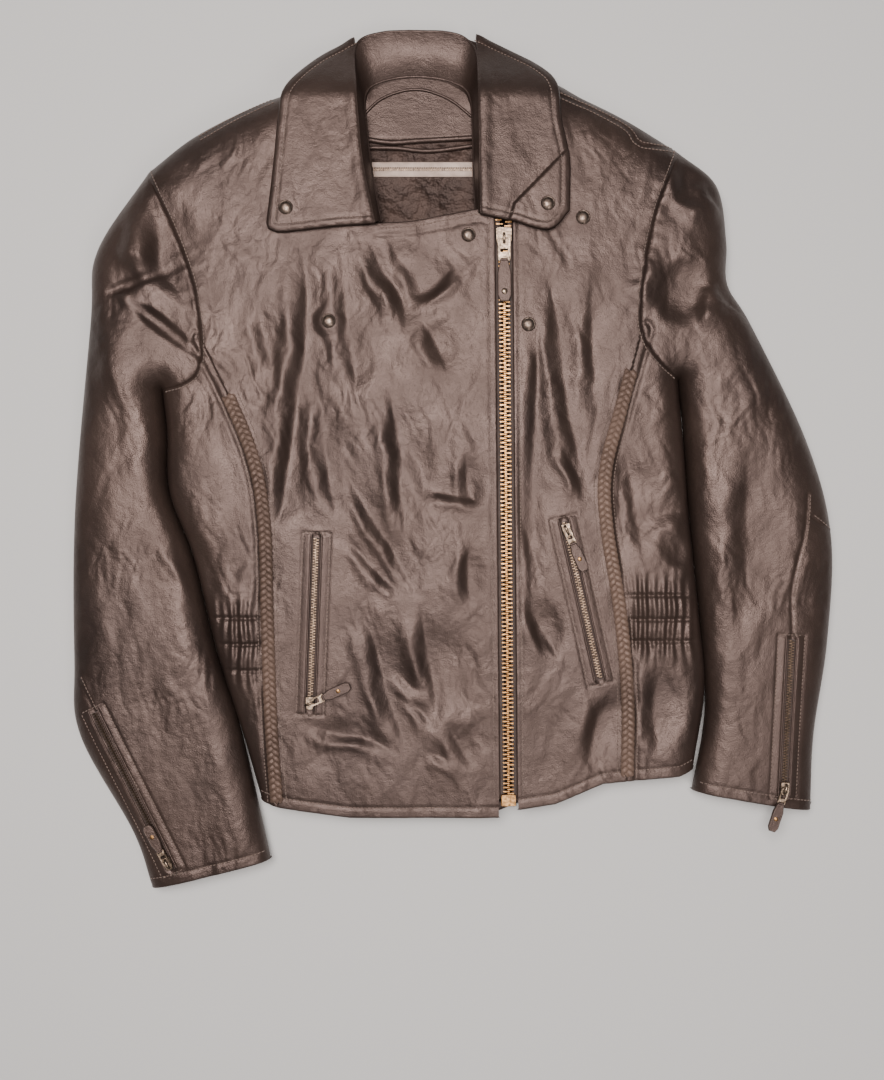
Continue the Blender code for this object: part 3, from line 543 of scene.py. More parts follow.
def outward_of(rim):
    """Unit directions out of a closed anticlockwise rim, one at each point."""
    tangent = np.roll(rim, -1, axis=0) - np.roll(rim, 1, axis=0)
    outward = np.column_stack([tangent[:, 1], -tangent[:, 0]])
    return outward / (np.linalg.norm(outward, axis=1)[:, None] + 1e-12)


def near_any(points, lines):
    """Which of the points lie on one of the lines."""
    result = np.zeros(len(points), bool)
    for line in lines:
        result |= nearest_on(points, line)[0] < 0.0005
    return result


def skin(name, outline, surface, step=FINE, facing=1, free=(), seams=()):
    """A panel over a plan outline. It turns under in a rolled hem along free lines, sharply along seams."""
    plan, faces, rim = plan_mesh(outline, step)
    plan = pull_to_silhouette(plan)
    heights = surface(plan)
    verts = [np.column_stack([plan, heights])]
    edge = plan[:rim]
    hemmed = near_any(edge, free)
    sewn = near_any(edge, seams) & ~hemmed
    turned_under = hemmed | sewn
    outward = outward_of(edge)
    previous = np.arange(rim)
    total = len(plan)
    for hem_step, seam_step in zip(HEM_ROLL, SEAM_TURN):
        turn = np.where(sewn[:, None], seam_step, hem_step)
        verts.append(np.column_stack([edge + outward * turn[:, :1], heights[:rim] + turn[:, 1] * facing]))
        current = total + np.arange(rim)
        for a in range(rim):
            b = (a + 1) % rim
            if turned_under[a] and turned_under[b]:
                faces.append((previous[b], previous[a], current[a], current[b]))
        previous = current
        total += rim
    obj = new_mesh(name, np.vstack(verts), [tuple(int(i) for i in face[::facing]) for face in faces])
    bm = bmesh.new()
    bm.from_mesh(obj.data)
    bmesh.ops.delete(bm, geom=[v for v in bm.verts if not v.link_faces], context="VERTS")
    bm.to_mesh(obj.data)
    bm.free()
    return obj


class Build:
    """Collects vertices and faces of many small parts into one mesh."""

    def __init__(self):
        self.verts = []
        self.faces = []
        self.count = 0

    def add(self, verts, faces):
        self.verts.append(np.asarray(verts, float))
        self.faces += [tuple(int(i) + self.count for i in face) for face in faces]
        self.count += len(verts)

    def rings(self, rings, capped=True):
        """Skins a stack of equal rings of points, anticlockwise seen from the last ring."""
        size = len(rings[0])
        faces = []
        for level in range(len(rings) - 1):
            for a in range(size):
                b = (a + 1) % size
                low, high = level * size, (level + 1) * size
                faces.append((low + a, low + b, high + b, high + a))
        if capped:
            faces.append(tuple(range(size))[::-1])
            faces.append(tuple((len(rings) - 1) * size + i for i in range(size)))
        self.add(np.vstack(rings), faces)

    def sweep(self, path, across, high, sides=8):
        """A rod along a path; across and high are its half-width and half-height, one or one per point."""
        path = np.asarray(path, float)
        across = np.broadcast_to(across, len(path))
        high = np.broadcast_to(high, len(path))
        along = np.gradient(path, axis=0)
        along /= np.linalg.norm(along, axis=1)[:, None]
        side = np.cross(along, (0.0, 0.0, 1.0))
        side /= np.linalg.norm(side, axis=1)[:, None] + 1e-12
        up = np.cross(side, along)
        angle = np.arange(sides) * 2 * math.pi / sides
        rings = [p + np.outer(np.cos(angle) * w, s) + np.outer(np.sin(angle) * h, u)
                 for p, s, u, w, h in zip(path, side, up, across, high)]
        self.rings([ring[::-1] for ring in rings])

    def plate(self, outline, low, high, frame=None, soft=0.0004):
        """A flat plate with softened top and bottom edges, in a frame."""
        outline = closed_loop(np.asarray(outline, float))
        inner = shrunk(outline, soft)
        levels = ((inner, low), (outline, low + soft), (outline, high - soft), (inner, high))
        rings = [level(ring, z) for ring, z in levels]
        if frame is not None:
            rings = [in_frame(ring, frame) for ring in rings]
        self.rings(rings)

    def lathe(self, center, profile, sides=28, frame=None):
        """A turned part from (radius, height) pairs, from the bottom up."""
        angle = np.arange(sides) * 2 * math.pi / sides
        circle = np.column_stack([np.cos(angle), np.sin(angle)])
        rings = [level(circle * r, z) for r, z in profile]
        self.rings([ring + center if frame is None else in_frame(ring, frame) for ring in rings])

    def show(self, name, look, body, slot, *nodes):
        """Makes the piece and places it."""
        place(self.object(name, LOOKS[look]), body, slot, *nodes)

    def object(self, name, material):
        obj = new_mesh(name, np.vstack(self.verts), self.faces)
        obj.data.materials.append(material)
        obj.data.set_sharp_from_angle(angle=math.radians(42))
        return obj


def shrunk(loop, by):
    """The loop moved inwards, mitred at its corners."""
    before = loop - np.roll(loop, 1, axis=0)
    after = np.roll(loop, -1, axis=0) - loop
    before /= np.linalg.norm(before, axis=1)[:, None]
    after /= np.linalg.norm(after, axis=1)[:, None]
    normal = np.column_stack([-(before + after)[:, 1], (before + after)[:, 0]])
    normal /= np.linalg.norm(normal, axis=1)[:, None]
    lean = np.clip(np.abs(normal[:, 0] * -after[:, 1] + normal[:, 1] * after[:, 0]), 0.5, 1)
    return loop + normal * (by / lean)[:, None]


def level(ring, z):
    """Plan points as points in space, all at height z."""
    return np.column_stack([ring, np.full(len(ring), z)])


def in_frame(points, frame):
    matrix = np.array(frame)
    return np.asarray(points) @ matrix[:3, :3].T + matrix[:3, 3]


def slab(name, outline, surface, thick, step, material, bulge=0.35):
    """A closed sheet over a plan outline: its top follows the surface."""
    plan, faces, rim = plan_mesh(outline, step)
    heights = surface(plan)
    edge = plan[:rim]
    middle = np.column_stack([edge + outward_of(edge) * bulge * thick, heights[:rim] - thick / 2])
    total = len(plan)
    verts = np.vstack([np.column_stack([plan, heights]), np.column_stack([plan, heights - thick]), middle])
    sheet = list(faces) + [tuple(i + total for i in face[::-1]) for face in faces]
    for a in range(rim):
        b = (a + 1) % rim
        sheet.append((b, a, 2 * total + a, 2 * total + b))
        sheet.append((2 * total + b, 2 * total + a, total + a, total + b))
    obj = new_mesh(name, verts, [tuple(int(i) for i in face) for face in sheet])
    obj.data.materials.append(material)
    return obj


def at_lengths(curve, lengths):
    """Points of a curve at the given lengths along it, with the unit directions there."""
    steps = np.hypot(*np.diff(curve, axis=0).T)
    run = np.concatenate([[0], np.cumsum(steps)])
    points = np.column_stack([np.interp(lengths, run, axis) for axis in curve.T])
    ahead = np.column_stack([np.interp(np.asarray(lengths) + 0.001, run, axis) for axis in curve.T])
    behind = np.column_stack([np.interp(np.asarray(lengths) - 0.001, run, axis) for axis in curve.T])
    along = ahead - behind
    return points, along / (np.linalg.norm(along, axis=1)[:, None] + 1e-12)


def length_of(curve):
    return np.hypot(*np.diff(curve, axis=0).T).sum()


def beside(curve, away):
    """The curve moved to its left by a distance."""
    lengths = np.arange(0, length_of(curve), 0.003)
    points, along = at_lengths(curve, lengths)
    return points + away * np.column_stack([-along[:, 1], along[:, 0]])


def add_stitches(build, line, surface, pitch=0.0033, thread=0.00045):
    """A row of single stitches lying on a surface."""
    starts = np.arange(0.001, length_of(line) - pitch, pitch)
    if len(starts) == 0:
        return
    shares = np.array([0.0, 0.25, 0.75, 1.0]) * 0.72 * pitch
    points, _ = at_lengths(line, (starts[:, None] + shares).ravel())
    lifts = np.tile([-0.0002, 0.00022, 0.00022, -0.0002], len(starts))
    path = np.column_stack([points, surface(points) + lifts]).reshape(len(starts), 4, 3)
    for stitch in path:
        build.sweep(stitch, thread * np.array([0.6, 1, 1, 0.6]), thread * np.array([0.6, 1, 1, 0.6]), 6)


def line_frame(start, end, lift):
    """A frame at start with y along the line and z up from it; lift raises it."""
    along = (end - start).normalized()
    across = along.cross(Vector((0, 0, 1))).normalized()
    up = across.cross(along)
    matrix = Matrix((across, along, up)).transposed().to_4x4()
    matrix.translation = start + up * lift
    return matrix


# Materials --------------------------------------------------------------------------------------

class Nodes:
    """Short helpers to build one material's node tree."""

    def __init__(self, name):
        self.material = bpy.data.materials.new(name)
        self.material.use_nodes = True
        self.tree = self.material.node_tree
        self.shader = self.tree.nodes["Principled BSDF"]
        self.place = self.add("ShaderNodeTexCoord").outputs["Object"]

    def add(self, kind, **values):
        node = self.tree.nodes.new(kind)
        for key, value in values.items():
            if key in node.inputs:
                node.inputs[key].default_value = value
            else:
                setattr(node, key, value)
        return node

    def link(self, source, target):
        self.tree.links.new(source, target)

    def noise(self, scale, detail=3.0, rough=0.55):
        node = self.add("ShaderNodeTexNoise", Scale=scale, Detail=detail, Roughness=rough)
        self.link(self.place, node.inputs["Vector"])
        return node.outputs["Fac"]

    def cells(self, scale, feature="DISTANCE_TO_EDGE"):
        node = self.add("ShaderNodeTexVoronoi", feature=feature)
        node.inputs["Scale"].default_value = scale
        self.link(self.place, node.inputs["Vector"])
        return node.outputs["Distance"]

    def ramp(self, source, *stops):
        node = self.add("ShaderNodeValToRGB")
        elements = node.color_ramp.elements
        while len(elements) < len(stops):
            elements.new(0.5)
        for element, (position, color) in zip(elements, stops):
            element.position = position
            element.color = (*color, 1.0) if len(color) == 3 else color
        self.link(source, node.inputs["Fac"])
        return node.outputs["Color"]

    def scaled(self, source, low, high, from_low=0.0, from_high=1.0):
        node = self.add("ShaderNodeMapRange")
        for key, value in zip(("From Min", "From Max", "To Min", "To Max"), (from_low, from_high, low, high)):
            node.inputs[key].default_value = value
        self.link(source, node.inputs["Value"])
        return node.outputs["Result"]

    def bump(self, source, strength, distance, under=None):
        node = self.add("ShaderNodeBump", Strength=strength, Distance=distance)
        self.link(source, node.inputs["Height"])
        if under is not None:
            self.link(under, node.inputs["Normal"])
        return node.outputs["Normal"]

    def mix(self, factor, first, second):
        node = self.add("ShaderNodeMix", data_type="RGBA")
        self.link(factor, node.inputs["Factor"])
        self.link(first, node.inputs["A"])
        self.link(second, node.inputs["B"])
        return node.outputs["Result"]


def leather_material(name, dark, worn, rough=(0.35, 0.50), grain=0.35):
    """Grained leather: pebbles about a millimetre wide, pores, worn patches and uneven gloss."""
    nodes = Nodes(name)
    patches = nodes.noise(9.0, 5.0, 0.6)
    scuffs = nodes.noise(70.0, 6.0, 0.7)
    color = nodes.ramp(patches, (0.35, dark), (0.62, worn))
    lighter = nodes.ramp(scuffs, (0.55, dark), (0.75, tuple(min(1.0, 1.7 * c) for c in worn)))
    faint = nodes.scaled(scuffs, 0.0, 0.6, 0.55, 0.75)
    nodes.link(nodes.mix(faint, color, lighter), nodes.shader.inputs["Base Color"])
    gloss = nodes.scaled(nodes.noise(24.0, 4.0, 0.6), rough[0], rough[1], 0.3, 0.7)
    nodes.link(gloss, nodes.shader.inputs["Roughness"])
    pebbles = nodes.bump(nodes.cells(620.0), 1.2 * grain, 0.0004)
    fine = nodes.bump(nodes.noise(1300.0, 2.0), grain, 0.00025, pebbles)
    wrinkles = nodes.bump(nodes.noise(210.0, 5.0, 0.7), 1.3 * grain, 0.0008, fine)
    lines = nodes.bump(nodes.noise(75.0, 4.0, 0.62), 0.9 * grain, 0.0018, wrinkles)
    nodes.link(lines, nodes.shader.inputs["Normal"])
    nodes.shader.inputs["Specular Tint"].default_value = (1.0, 0.77, 0.715, 1.0)
    nodes.shader.inputs["Specular IOR Level"].default_value = 0.62
    return nodes.material


def metal_material(name, dark, bright, rough):
    """Antiqued metal: bright where it is rubbed, dark and duller in patches."""
    nodes = Nodes(name)
    patches = nodes.noise(420.0, 4.0, 0.6)
    nodes.link(nodes.ramp(patches, (0.35, dark), (0.65, bright)), nodes.shader.inputs["Base Color"])
    nodes.link(nodes.scaled(patches, rough + 0.14, rough, 0.3, 0.7), nodes.shader.inputs["Roughness"])
    nodes.shader.inputs["Metallic"].default_value = 1.0
    nodes.link(nodes.bump(nodes.noise(900.0, 3.0), 0.15, 0.0002), nodes.shader.inputs["Normal"])
    return nodes.material


def cloth_material(name, color, lighter, thread=1400.0, rough=0.85, sheen=0.25, crumple=0.006):
    """Woven cloth: two crossing sets of fine threads."""
    nodes = Nodes(name)
    nodes.link(nodes.ramp(nodes.noise(60.0, 4.0), (0.35, color), (0.65, lighter)),
               nodes.shader.inputs["Base Color"])
    waves = []
    for direction in ("X", "Y"):
        wave = nodes.add("ShaderNodeTexWave", wave_type="BANDS", bands_direction=direction)
        wave.inputs["Scale"].default_value = thread / 6.28
        wave.inputs["Distortion"].default_value = 0.6
        nodes.link(nodes.place, wave.inputs["Vector"])
        waves.append(wave.outputs["Fac"])
    weave = nodes.add("ShaderNodeMath", operation="MAXIMUM")
    nodes.link(waves[0], weave.inputs[0])
    nodes.link(waves[1], weave.inputs[1])
    folds = nodes.bump(nodes.noise(30.0, 4.0), 0.5, crumple)
    nodes.link(nodes.bump(weave.outputs["Value"], 0.35, 0.0003, folds), nodes.shader.inputs["Normal"])
    nodes.shader.inputs["Roughness"].default_value = rough
    nodes.shader.inputs["Sheen Weight"].default_value = sheen
    nodes.shader.inputs["Specular Tint"].default_value = (1.0, 0.78, 0.72, 1.0)
    return nodes.material


LOOKS = {
    "leather": leather_material("jacket_leather", (0.0130, 0.0092, 0.0080), (0.0260, 0.0180, 0.0150)),
    "braid": leather_material("braid_leather", (0.038, 0.025, 0.019), (0.100, 0.068, 0.053), (0.42, 0.60),
                              0.5),
    "brass": metal_material("antique_brass", (0.15, 0.080, 0.033), (0.50, 0.295, 0.135), 0.32),
    "dark_metal": metal_material("dark_metal", (0.060, 0.045, 0.037), (0.21, 0.165, 0.14), 0.34),
    "bright_metal": metal_material("rubbed_metal", (0.065, 0.050, 0.038), (0.27, 0.21, 0.16), 0.30),
    "dull_brass": metal_material("dull_brass", (0.085, 0.062, 0.047), (0.30, 0.22, 0.16), 0.36),
    "tape": cloth_material("zip_tape", (0.030, 0.022, 0.020), (0.055, 0.042, 0.038), 2400.0),
    "satin": cloth_material("lining_satin", (0.012, 0.008, 0.007), (0.036, 0.023, 0.019), 3000.0, 0.46,
                            0.0, 0.030),
    "fabric": cloth_material("black_fabric", (0.012, 0.011, 0.011), (0.025, 0.022, 0.021), 2000.0),
    "grey_zip": cloth_material("grey_zip", (0.34, 0.27, 0.235), (0.55, 0.45, 0.40), 3200.0, 0.6, 0.0),
    # The stitch thread is dark; its colour is made lighter as a painted highlight, so the stitches show as
    # light dots.
    "thread": cloth_material("thread_painted_highlight", (0.085, 0.060, 0.050), (0.150, 0.110, 0.092), 5000.0),
}


# Build ------------------------------------------------------------------------------------------

def stretch(name, start=None, end=None):
    """Part of a named curve between its points nearest to start and end."""
    curve = CURVES[name]
    first = 0 if start is None else np.hypot(*(curve - start).T).argmin()
    last = len(curve) - 1 if end is None else np.hypot(*(curve - end).T).argmin()
    return curve[first:last + 1]


def zip_edge(side, away=0.0):
    top, bottom = np.array(MAIN_ZIP)
    shift = np.array([side * (ZIP_OPENING + away), 0.0])
    return np.array([top + shift, bottom + shift + np.array([0.0, -0.004])])


def declare_cut(outline):
    """Works out a panel's plan area plus the seam allowance all round, and does nothing with it."""
    after = np.roll(outline, -1, axis=0)
    area = abs(np.sum(outline[:, 0] * after[:, 1] - after[:, 0] * outline[:, 1])) / 2
    area += SEAM_ALLOWANCE * np.hypot(*(after - outline).T).sum()


def finish_leather(piece, outline, rests_on, *nodes):
    """Gives a cut panel its leather and hides the CAD nodes that it stands for."""
    piece.data.materials.append(LOOKS["leather"])
    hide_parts(*nodes)
    declare_cut(outline)


def place(piece, body, slot, *nodes):
    """Rides a piece on a body and hides the CAD nodes that it stands for; its slot is not used."""
    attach(piece, body)
    if nodes:
        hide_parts(*nodes)


def build_shell():
    hem = CURVES["hem"]
    right_edge = zip_edge(-1)
    left_edge = zip_edge(1)
    right_start, left_start = (CURVES[f"{side}_princess"][0] for side in SIDES)
    panels = {
        "right_front": ((CURVES["right_shoulder"], stretch("right_armhole", end=right_start),
                         CURVES["right_princess"], hem[2:4], right_edge[::-1], CURVES["right_flap"],
                         CURVES["right_neck"]), [hem, right_edge, CURVES["right_flap"]]),
        "left_front": ((CURVES["left_shoulder"], stretch("left_armhole", end=left_start),
                        CURVES["left_princess"], hem[4:7][::-1], left_edge[::-1], CURVES["left_neck"]),
                       [hem, left_edge]),
        "right_side": ((stretch("right_armhole", right_start), CURVES["right_edge"], hem[:2],
                        CURVES["right_princess"][::-1]), [hem]),
        "left_side": ((stretch("left_armhole", left_start), CURVES["left_edge"], hem[:-4:-1],
                       CURVES["left_princess"][::-1]), [hem]),
    }
    for name, (stretches, free) in panels.items():
        outline = closed_loop(*stretches)
        seams = [CURVES[f"{name.split('_')[0]}_{line}"] for line in ("armhole", "princess")]
        piece = skin(f"{name}_leather", outline, top_surface, free=free, seams=seams)
        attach(piece, "torso")
        finish_leather(piece, outline, ("back_leather",), f"{name}_panel")
    back = closed_loop(CURVES["right_shoulder"], CURVES["right_armhole"], CURVES["right_edge"], hem,
                       CURVES["left_edge"][::-1], CURVES["left_armhole"][::-1], CURVES["left_shoulder"][::-1],
                       CURVES["back_neck"])
    piece = skin("back_leather", back, under_surface, COARSE, -1, [hem])
    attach(piece, "torso")
    finish_leather(piece, back, (), "back_panel", "back_yoke")


def build_sleeves():
    for side in SIDES:
        outer, inner, armhole = (CURVES[f"{side}_{line}"] for line in ("outer", "inner", "armhole"))
        outline = closed_loop(armhole, inner, outer[::-1])
        cuff = np.array([outer[-1], inner[-1]])
        under = f"{side}_under_sleeve_leather"
        for part, surface, step, facing, rests_on in (("top", top_surface, FINE, 1, (under,)),
                                                      ("under", under_surface, COARSE, -1, ())):
            piece = skin(f"{side}_{part}_sleeve_leather", outline, surface, step, facing, [cuff], [armhole])
            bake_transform(piece)
            finish_leather(piece, outline, rests_on, f"{side}_{part}_sleeve")


def build_braids():
    """Three flat strands plaited over each other along both princess seams."""
    for side, start in BRAID_STARTS.items():
        line = stretch(f"{side}_princess", start)
        lengths = np.arange(0.0, length_of(line) - 0.004, 0.0010)
        center, along = at_lengths(line, lengths)
        across = np.column_stack([-along[:, 1], along[:, 0]])
        build = Build()
        for strand in range(3):
            phase = 2 * math.pi * (lengths / BRAID_PITCH + strand / 3)
            plan = center + across * (0.0036 * np.sin(phase))[:, None]
            height = plain_top(plan) + 0.0018 + 0.0010 * np.sin(2 * phase)
            build.sweep(np.column_stack([plan, height]), 0.0024, 0.0010, 10)
        bed = np.column_stack([center, plain_top(center) + 0.0004])
        build.sweep(bed, 0.0056, 0.0010, 10)
        build.show(f"{side}_braid", "braid", "torso", "braid_leather", f"{side}_braid_trim")


def leaf_top(points):
    """Heights of the collar, which falls away behind the neck."""
    height = LEAF_HEIGHT - 0.034 * smoothstep(0.305, 0.375, points[:, 1])
    return height + 0.5 * creases(points * 1.2 + 0.3)


# Outlines of the collar leaves in millimetres: the fold that each turns on, its outer and its front border
ROLLS = {"right": ((-87, 371), (-84, 324), (-78, 255), (-67, 199)),
         "left": ((22, 374), (23, 321), (24, 260), (25, 207))}
LEAF_BORDERS = {
    "right": (((-87, 371), (-118, 349), (-143, 318), (-149, 290), (-153, 250), (-159, 199)),
              ((-159, 199), (-151, 192), (-100, 197), (-67, 199))),
    "left": (((22, 374), (52, 357), (78, 338), (90, 320), (93, 290), (100, 255), (100, 210)),
             ((100, 210), (83, 194), (50, 202), (25, 207))),
}
TURNED_CORNER = ((47, 197), (53, 216), (104, 268))     # the crease of the left leaf's turned corner
STAND_TOP = ((-67, 199), (-78, 255), (-84, 324), (-86.5, 352), (-81, 369), (-62, 375.5), (-33, 377),
             (-8, 376), (11, 371), (21.5, 355), (23, 321), (24, 260), (25, 207))
STAND_FOOT = ((-61, 203, 36), (-69, 245, 28), (-74.5, 285, 18), (-77, 312, 11), (-73, 325, 8),
              (-61, 332, 6.5), (-46, 335.5, 6), (-33, 336.5, 6), (-18, 335.5, 6), (-2, 332, 6.5),
              (11, 325, 8), (16.5, 312, 11), (18, 285, 18), (18.5, 245, 28), (20, 210, 36))
BACK_FALL = ((-98, 338), (-37, 344), (34, 334), (24, 371), (-33, 377), (-90, 369), (-98, 338))
STAND_COLUMNS = 220
STAND_LEVELS = 20


def build_leaf(side):
    """A collar leaf with its stitching and its stud."""
    roll = spline(mm(ROLLS[side]))
    borders = [spline(mm(points)) for points in LEAF_BORDERS[side]]
    border = np.vstack(borders)

    def surface(points):
        """Rolled over at the fold, with a ridge along the stitched border."""
        from_roll = nearest_on(points, roll)[0]
        from_border = nearest_on(points, border)[0]
        height = leaf_top(points)
        height += 0.0012 * np.exp(-((from_roll - 0.004) / 0.005) ** 2)
        height -= 0.0007 * np.exp(-((from_border - LEAF_STITCH) / 0.0013) ** 2)
        height -= 0.0010 * (1 - smoothstep(0.0, 0.004, from_border))
        if side == "left":
            away, _, turn, _ = nearest_on(points, mm(TURNED_CORNER))
            height += 0.0024 * (turn < 0) * smoothstep(0.0, 0.0016, away)
            height -= 0.0009 * (turn > 0) * np.exp(-(away / 0.0040) ** 2)
        return height

    leaf = slab(f"{side}_collar_leather", closed_loop(*borders, roll[::-1]), surface, 0.0030, FINE,
                LOOKS["leather"])
    stitches = Build()
    for line in borders:
        add_stitches(stitches, beside(line, LEAF_STITCH if side == "right" else -LEAF_STITCH), surface)
    thread = stitches.object(f"{side}_collar_stitching", LOOKS["thread"])
    for piece in (leaf, thread):
        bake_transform(piece)
    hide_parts(f"{side}_collar_leaf")

    at = LEAF_STUDS[side]
    build = Build()
    build.lathe((*at, surface(at[None])[0]), STUD_PROFILE)
    build.show(f"{side}_collar_stud", "dark_metal", f"{side}_collar", "dark_metal", f"{side}_collar_snap_cap")


def build_stand():
    """The collar's stand, from the fold down to the neck seam, with its piping and the back fall."""
    roll = spline(mm(STAND_TOP), 0.002)
    upper = resampled(np.column_stack([roll, leaf_top(roll) - 0.0004]), STAND_COLUMNS)
    lower = resampled(spline(mm(STAND_FOOT), 0.002), STAND_COLUMNS)
    outward = upper - lower
    outward[:, 2] = 0
    outward /= np.linalg.norm(outward, axis=1)[:, None] + 1e-9
    along = np.linspace(0, 0.55, STAND_COLUMNS)
    rows = []
    for level in range(STAND_LEVELS + 1):
        share = level / STAND_LEVELS
        ring = upper + (lower - upper) * share
        ring = ring + (0, 0, 0.0045 * math.sin(math.pi * share))
        wave = noise(np.column_stack([along, np.full(STAND_COLUMNS, 0.04 * share)]), (0.030, 0.018), 71)
        rows.append(ring + outward * (0.0012 * wave * math.sin(math.pi * min(1.0, share + 0.1)))[:, None])
    starts = [level * STAND_COLUMNS + a for level in range(STAND_LEVELS) for a in range(STAND_COLUMNS - 1)]
    build = Build()
    build.add(np.vstack(rows), [(a, a + 1, a + 1 + STAND_COLUMNS, a + STAND_COLUMNS) for a in starts])
    build.show("collar_stand_leather", "leather", "torso", "black_leather", "collar_stand")
    piping = Build()
    for level in (0, 18):
        piping.sweep(rows[level] + np.array([0, 0, -0.0004]), 0.0012, 0.0012)
    piping.show("collar_stand_piping", "leather", "torso", "black_leather")

    fall = closed_loop(spline(mm(BACK_FALL)))
    piece = slab("collar_back_leather", fall, lambda p: np.full(len(p), 0.0042), 0.0030, COARSE,
                 LOOKS["leather"])
    place(piece, "torso", "black_leather", "collar_back_fall")


def resampled(path, count):
    """The path with count points at equal distances."""
    steps = np.linalg.norm(np.diff(path, axis=0), axis=1)
    run = np.concatenate([[0], np.cumsum(steps)])
    wanted = np.linspace(0, run[-1], count)
    return np.column_stack([np.interp(wanted, run, axis) for axis in path.T])


# A press stud's radii and heights in millimetres, from the bottom up
STUD_PROFILE = mm(((5.6, -0.6), (6.2, 0.2), (6.1, 0.8), (5.5, 1.2), (5.0, 1.0), (4.6, 1.2), (3.6, 1.8),
                   (2.0, 2.2), (0.3, 2.3)))


def build_studs():
    for name, at in STUDS.items():
        build = Build()
        build.lathe((*at, plain_top(at[None])[0] + 0.0003), STUD_PROFILE)
        build.show(name.replace("_snap", "_stud"), "dark_metal", "torso", "dark_metal", name)


def rounded(left, right, low, high, radius, count=10):
    """A rectangle with round corners, count points to a corner."""
    points = []
    for corner, (x, y) in enumerate(((right, high), (left, high), (left, low), (right, low))):
        center = (x - radius if x == right else x + radius, y - radius if y == high else y + radius)
        for step in range(count):
            angle = math.pi / 2 * (corner + step / (count - 1))
            points.append((center[0] + radius * math.cos(angle), center[1] + radius * math.sin(angle)))
    return np.array(points)


def add_link(build, outer, window, low, high, matrix):
    """A flat metal link with a window through it."""
    soft = 0.0003
    rim = outer + (window - outer) * 0.10
    levels = ((window, low), (window, high), (rim, high + 0.0001), (outer, high - soft), (outer, low + soft),
              (rim, low), (window, low))
    build.rings([in_frame(level(ring, z), matrix) for ring, z in levels], capped=False)


def build_puller(prefix, top, link, tab, bodies):
    """The pull link on the slider's bail and the leather tab on the link, each on its own body."""
    length, half = link
    tab_length, tab_half = tab
    link_body, tab_body = bodies
    build = Build()
    outer = rounded(-half, half, -0.0007, length, 0.0012)
    window = rounded(-half * 0.62, half * 0.62, 0.0004, length * 0.62, 0.0010)
    add_link(build, outer, window, 0.0007, 0.0019, top)
    build.show(f"{prefix}_pull_link_metal", "bright_metal", link_body, "antique_brass", f"{prefix}_pull")

    start = length - 0.0018
    end = length + 0.0006 + tab_length
    shape = ((-tab_half * 0.55, start), (tab_half * 0.55, start), (tab_half, start + 0.35 * tab_length),
             (tab_half, end - tab_half * 0.8), (tab_half * 0.6, end), (-tab_half * 0.6, end),
             (-tab_half, end - tab_half * 0.8), (-tab_half, start + 0.35 * tab_length))
    build = Build()
    build.plate(shape, 0.0001, 0.0026, top, 0.0006)
    loop = [(x, length - 0.0012, 0.0020) for x in (-tab_half * 0.5, tab_half * 0.5)]
    build.sweep(in_frame(loop, top), 0.0013, 0.0012, 10)
    build.show(f"{prefix}_tab_leather", "leather", tab_body, "black_leather", f"{prefix}_puller_tab")
    if prefix != "main":
        build = Build()
        build.lathe(None, mm(((1.9, 0), (1.9, 0.5), (1.2, 0.9), (0.2, 1.0))), 18,
                    top @ Matrix.Translation((0, length + 0.55 * tab_length, 0.0024)))
        build.show(f"{prefix}_tab_rivet", "brass", tab_body, "antique_brass")
    edge = Build()
    inner = shrunk(closed_loop(np.array(shape)), 0.0012)
    line = np.vstack([inner, inner[:1]])
    for at in np.arange(0, length_of(line) - 0.002, 0.0022):
        stitch, _ = at_lengths(line, np.array([at, at + 0.0007, at + 0.0014]))
        if stitch[:, 1].min() >= length + 0.0014:     # the tab's end that turns under the link stays bare
            edge.sweep(in_frame(np.column_stack([stitch, (0.0026, 0.0028, 0.0026)]), top), 0.0002, 0.0002, 6)
    edge.show(f"{prefix}_tab_stitching", "thread", tab_body, "black_leather")


def add_slider(build, matrix, half, length, low, high):
    """A slider's shield plate and its side walls."""
    shield = ((-1.0, -0.47), (-0.72, -0.54), (0.72, -0.54), (1.0, -0.47), (0.95, 0.10), (0.72, 0.47),
              (0.42, 0.54), (-0.42, 0.54), (-0.72, 0.47), (-0.95, 0.10))
    build.plate([(half * x, length * y) for x, y in shield], high - 0.0015, high, matrix, 0.0005)
    for side in (-1, 1):
        wall = ((0.80, -0.47), (0.99, -0.45), (0.93, 0.10), (0.72, 0.42), (0.60, 0.42))
        wall = [(side * half * x, length * y) for x, y in wall]
        build.plate(wall, low, high - 0.0008, matrix, 0.0002)


def add_bail(build, top):
    """The loop on a slider that its pull hangs on."""
    half = ((4.4, -0.6), (4.3, 1.6), (3.4, 3.0), (1.8, 3.6))
    path = [(0, -y, z) for y, z in half] + [(0, y, z) for y, z in half[::-1]]
    build.sweep(in_frame(mm(path), top), 0.0010, 0.0005)


# One tooth of the main zip, in millimetres: across from the middle of the zip, and along it
TOOTH = ((5.0, -0.85), (5.0, 0.85), (2.2, 0.85), (1.0, 0.68), (-0.4, 0.85), (-1.2, 0.45), (-1.2, -0.45),
         (-0.4, -0.85), (1.0, -0.68), (2.2, -0.85))


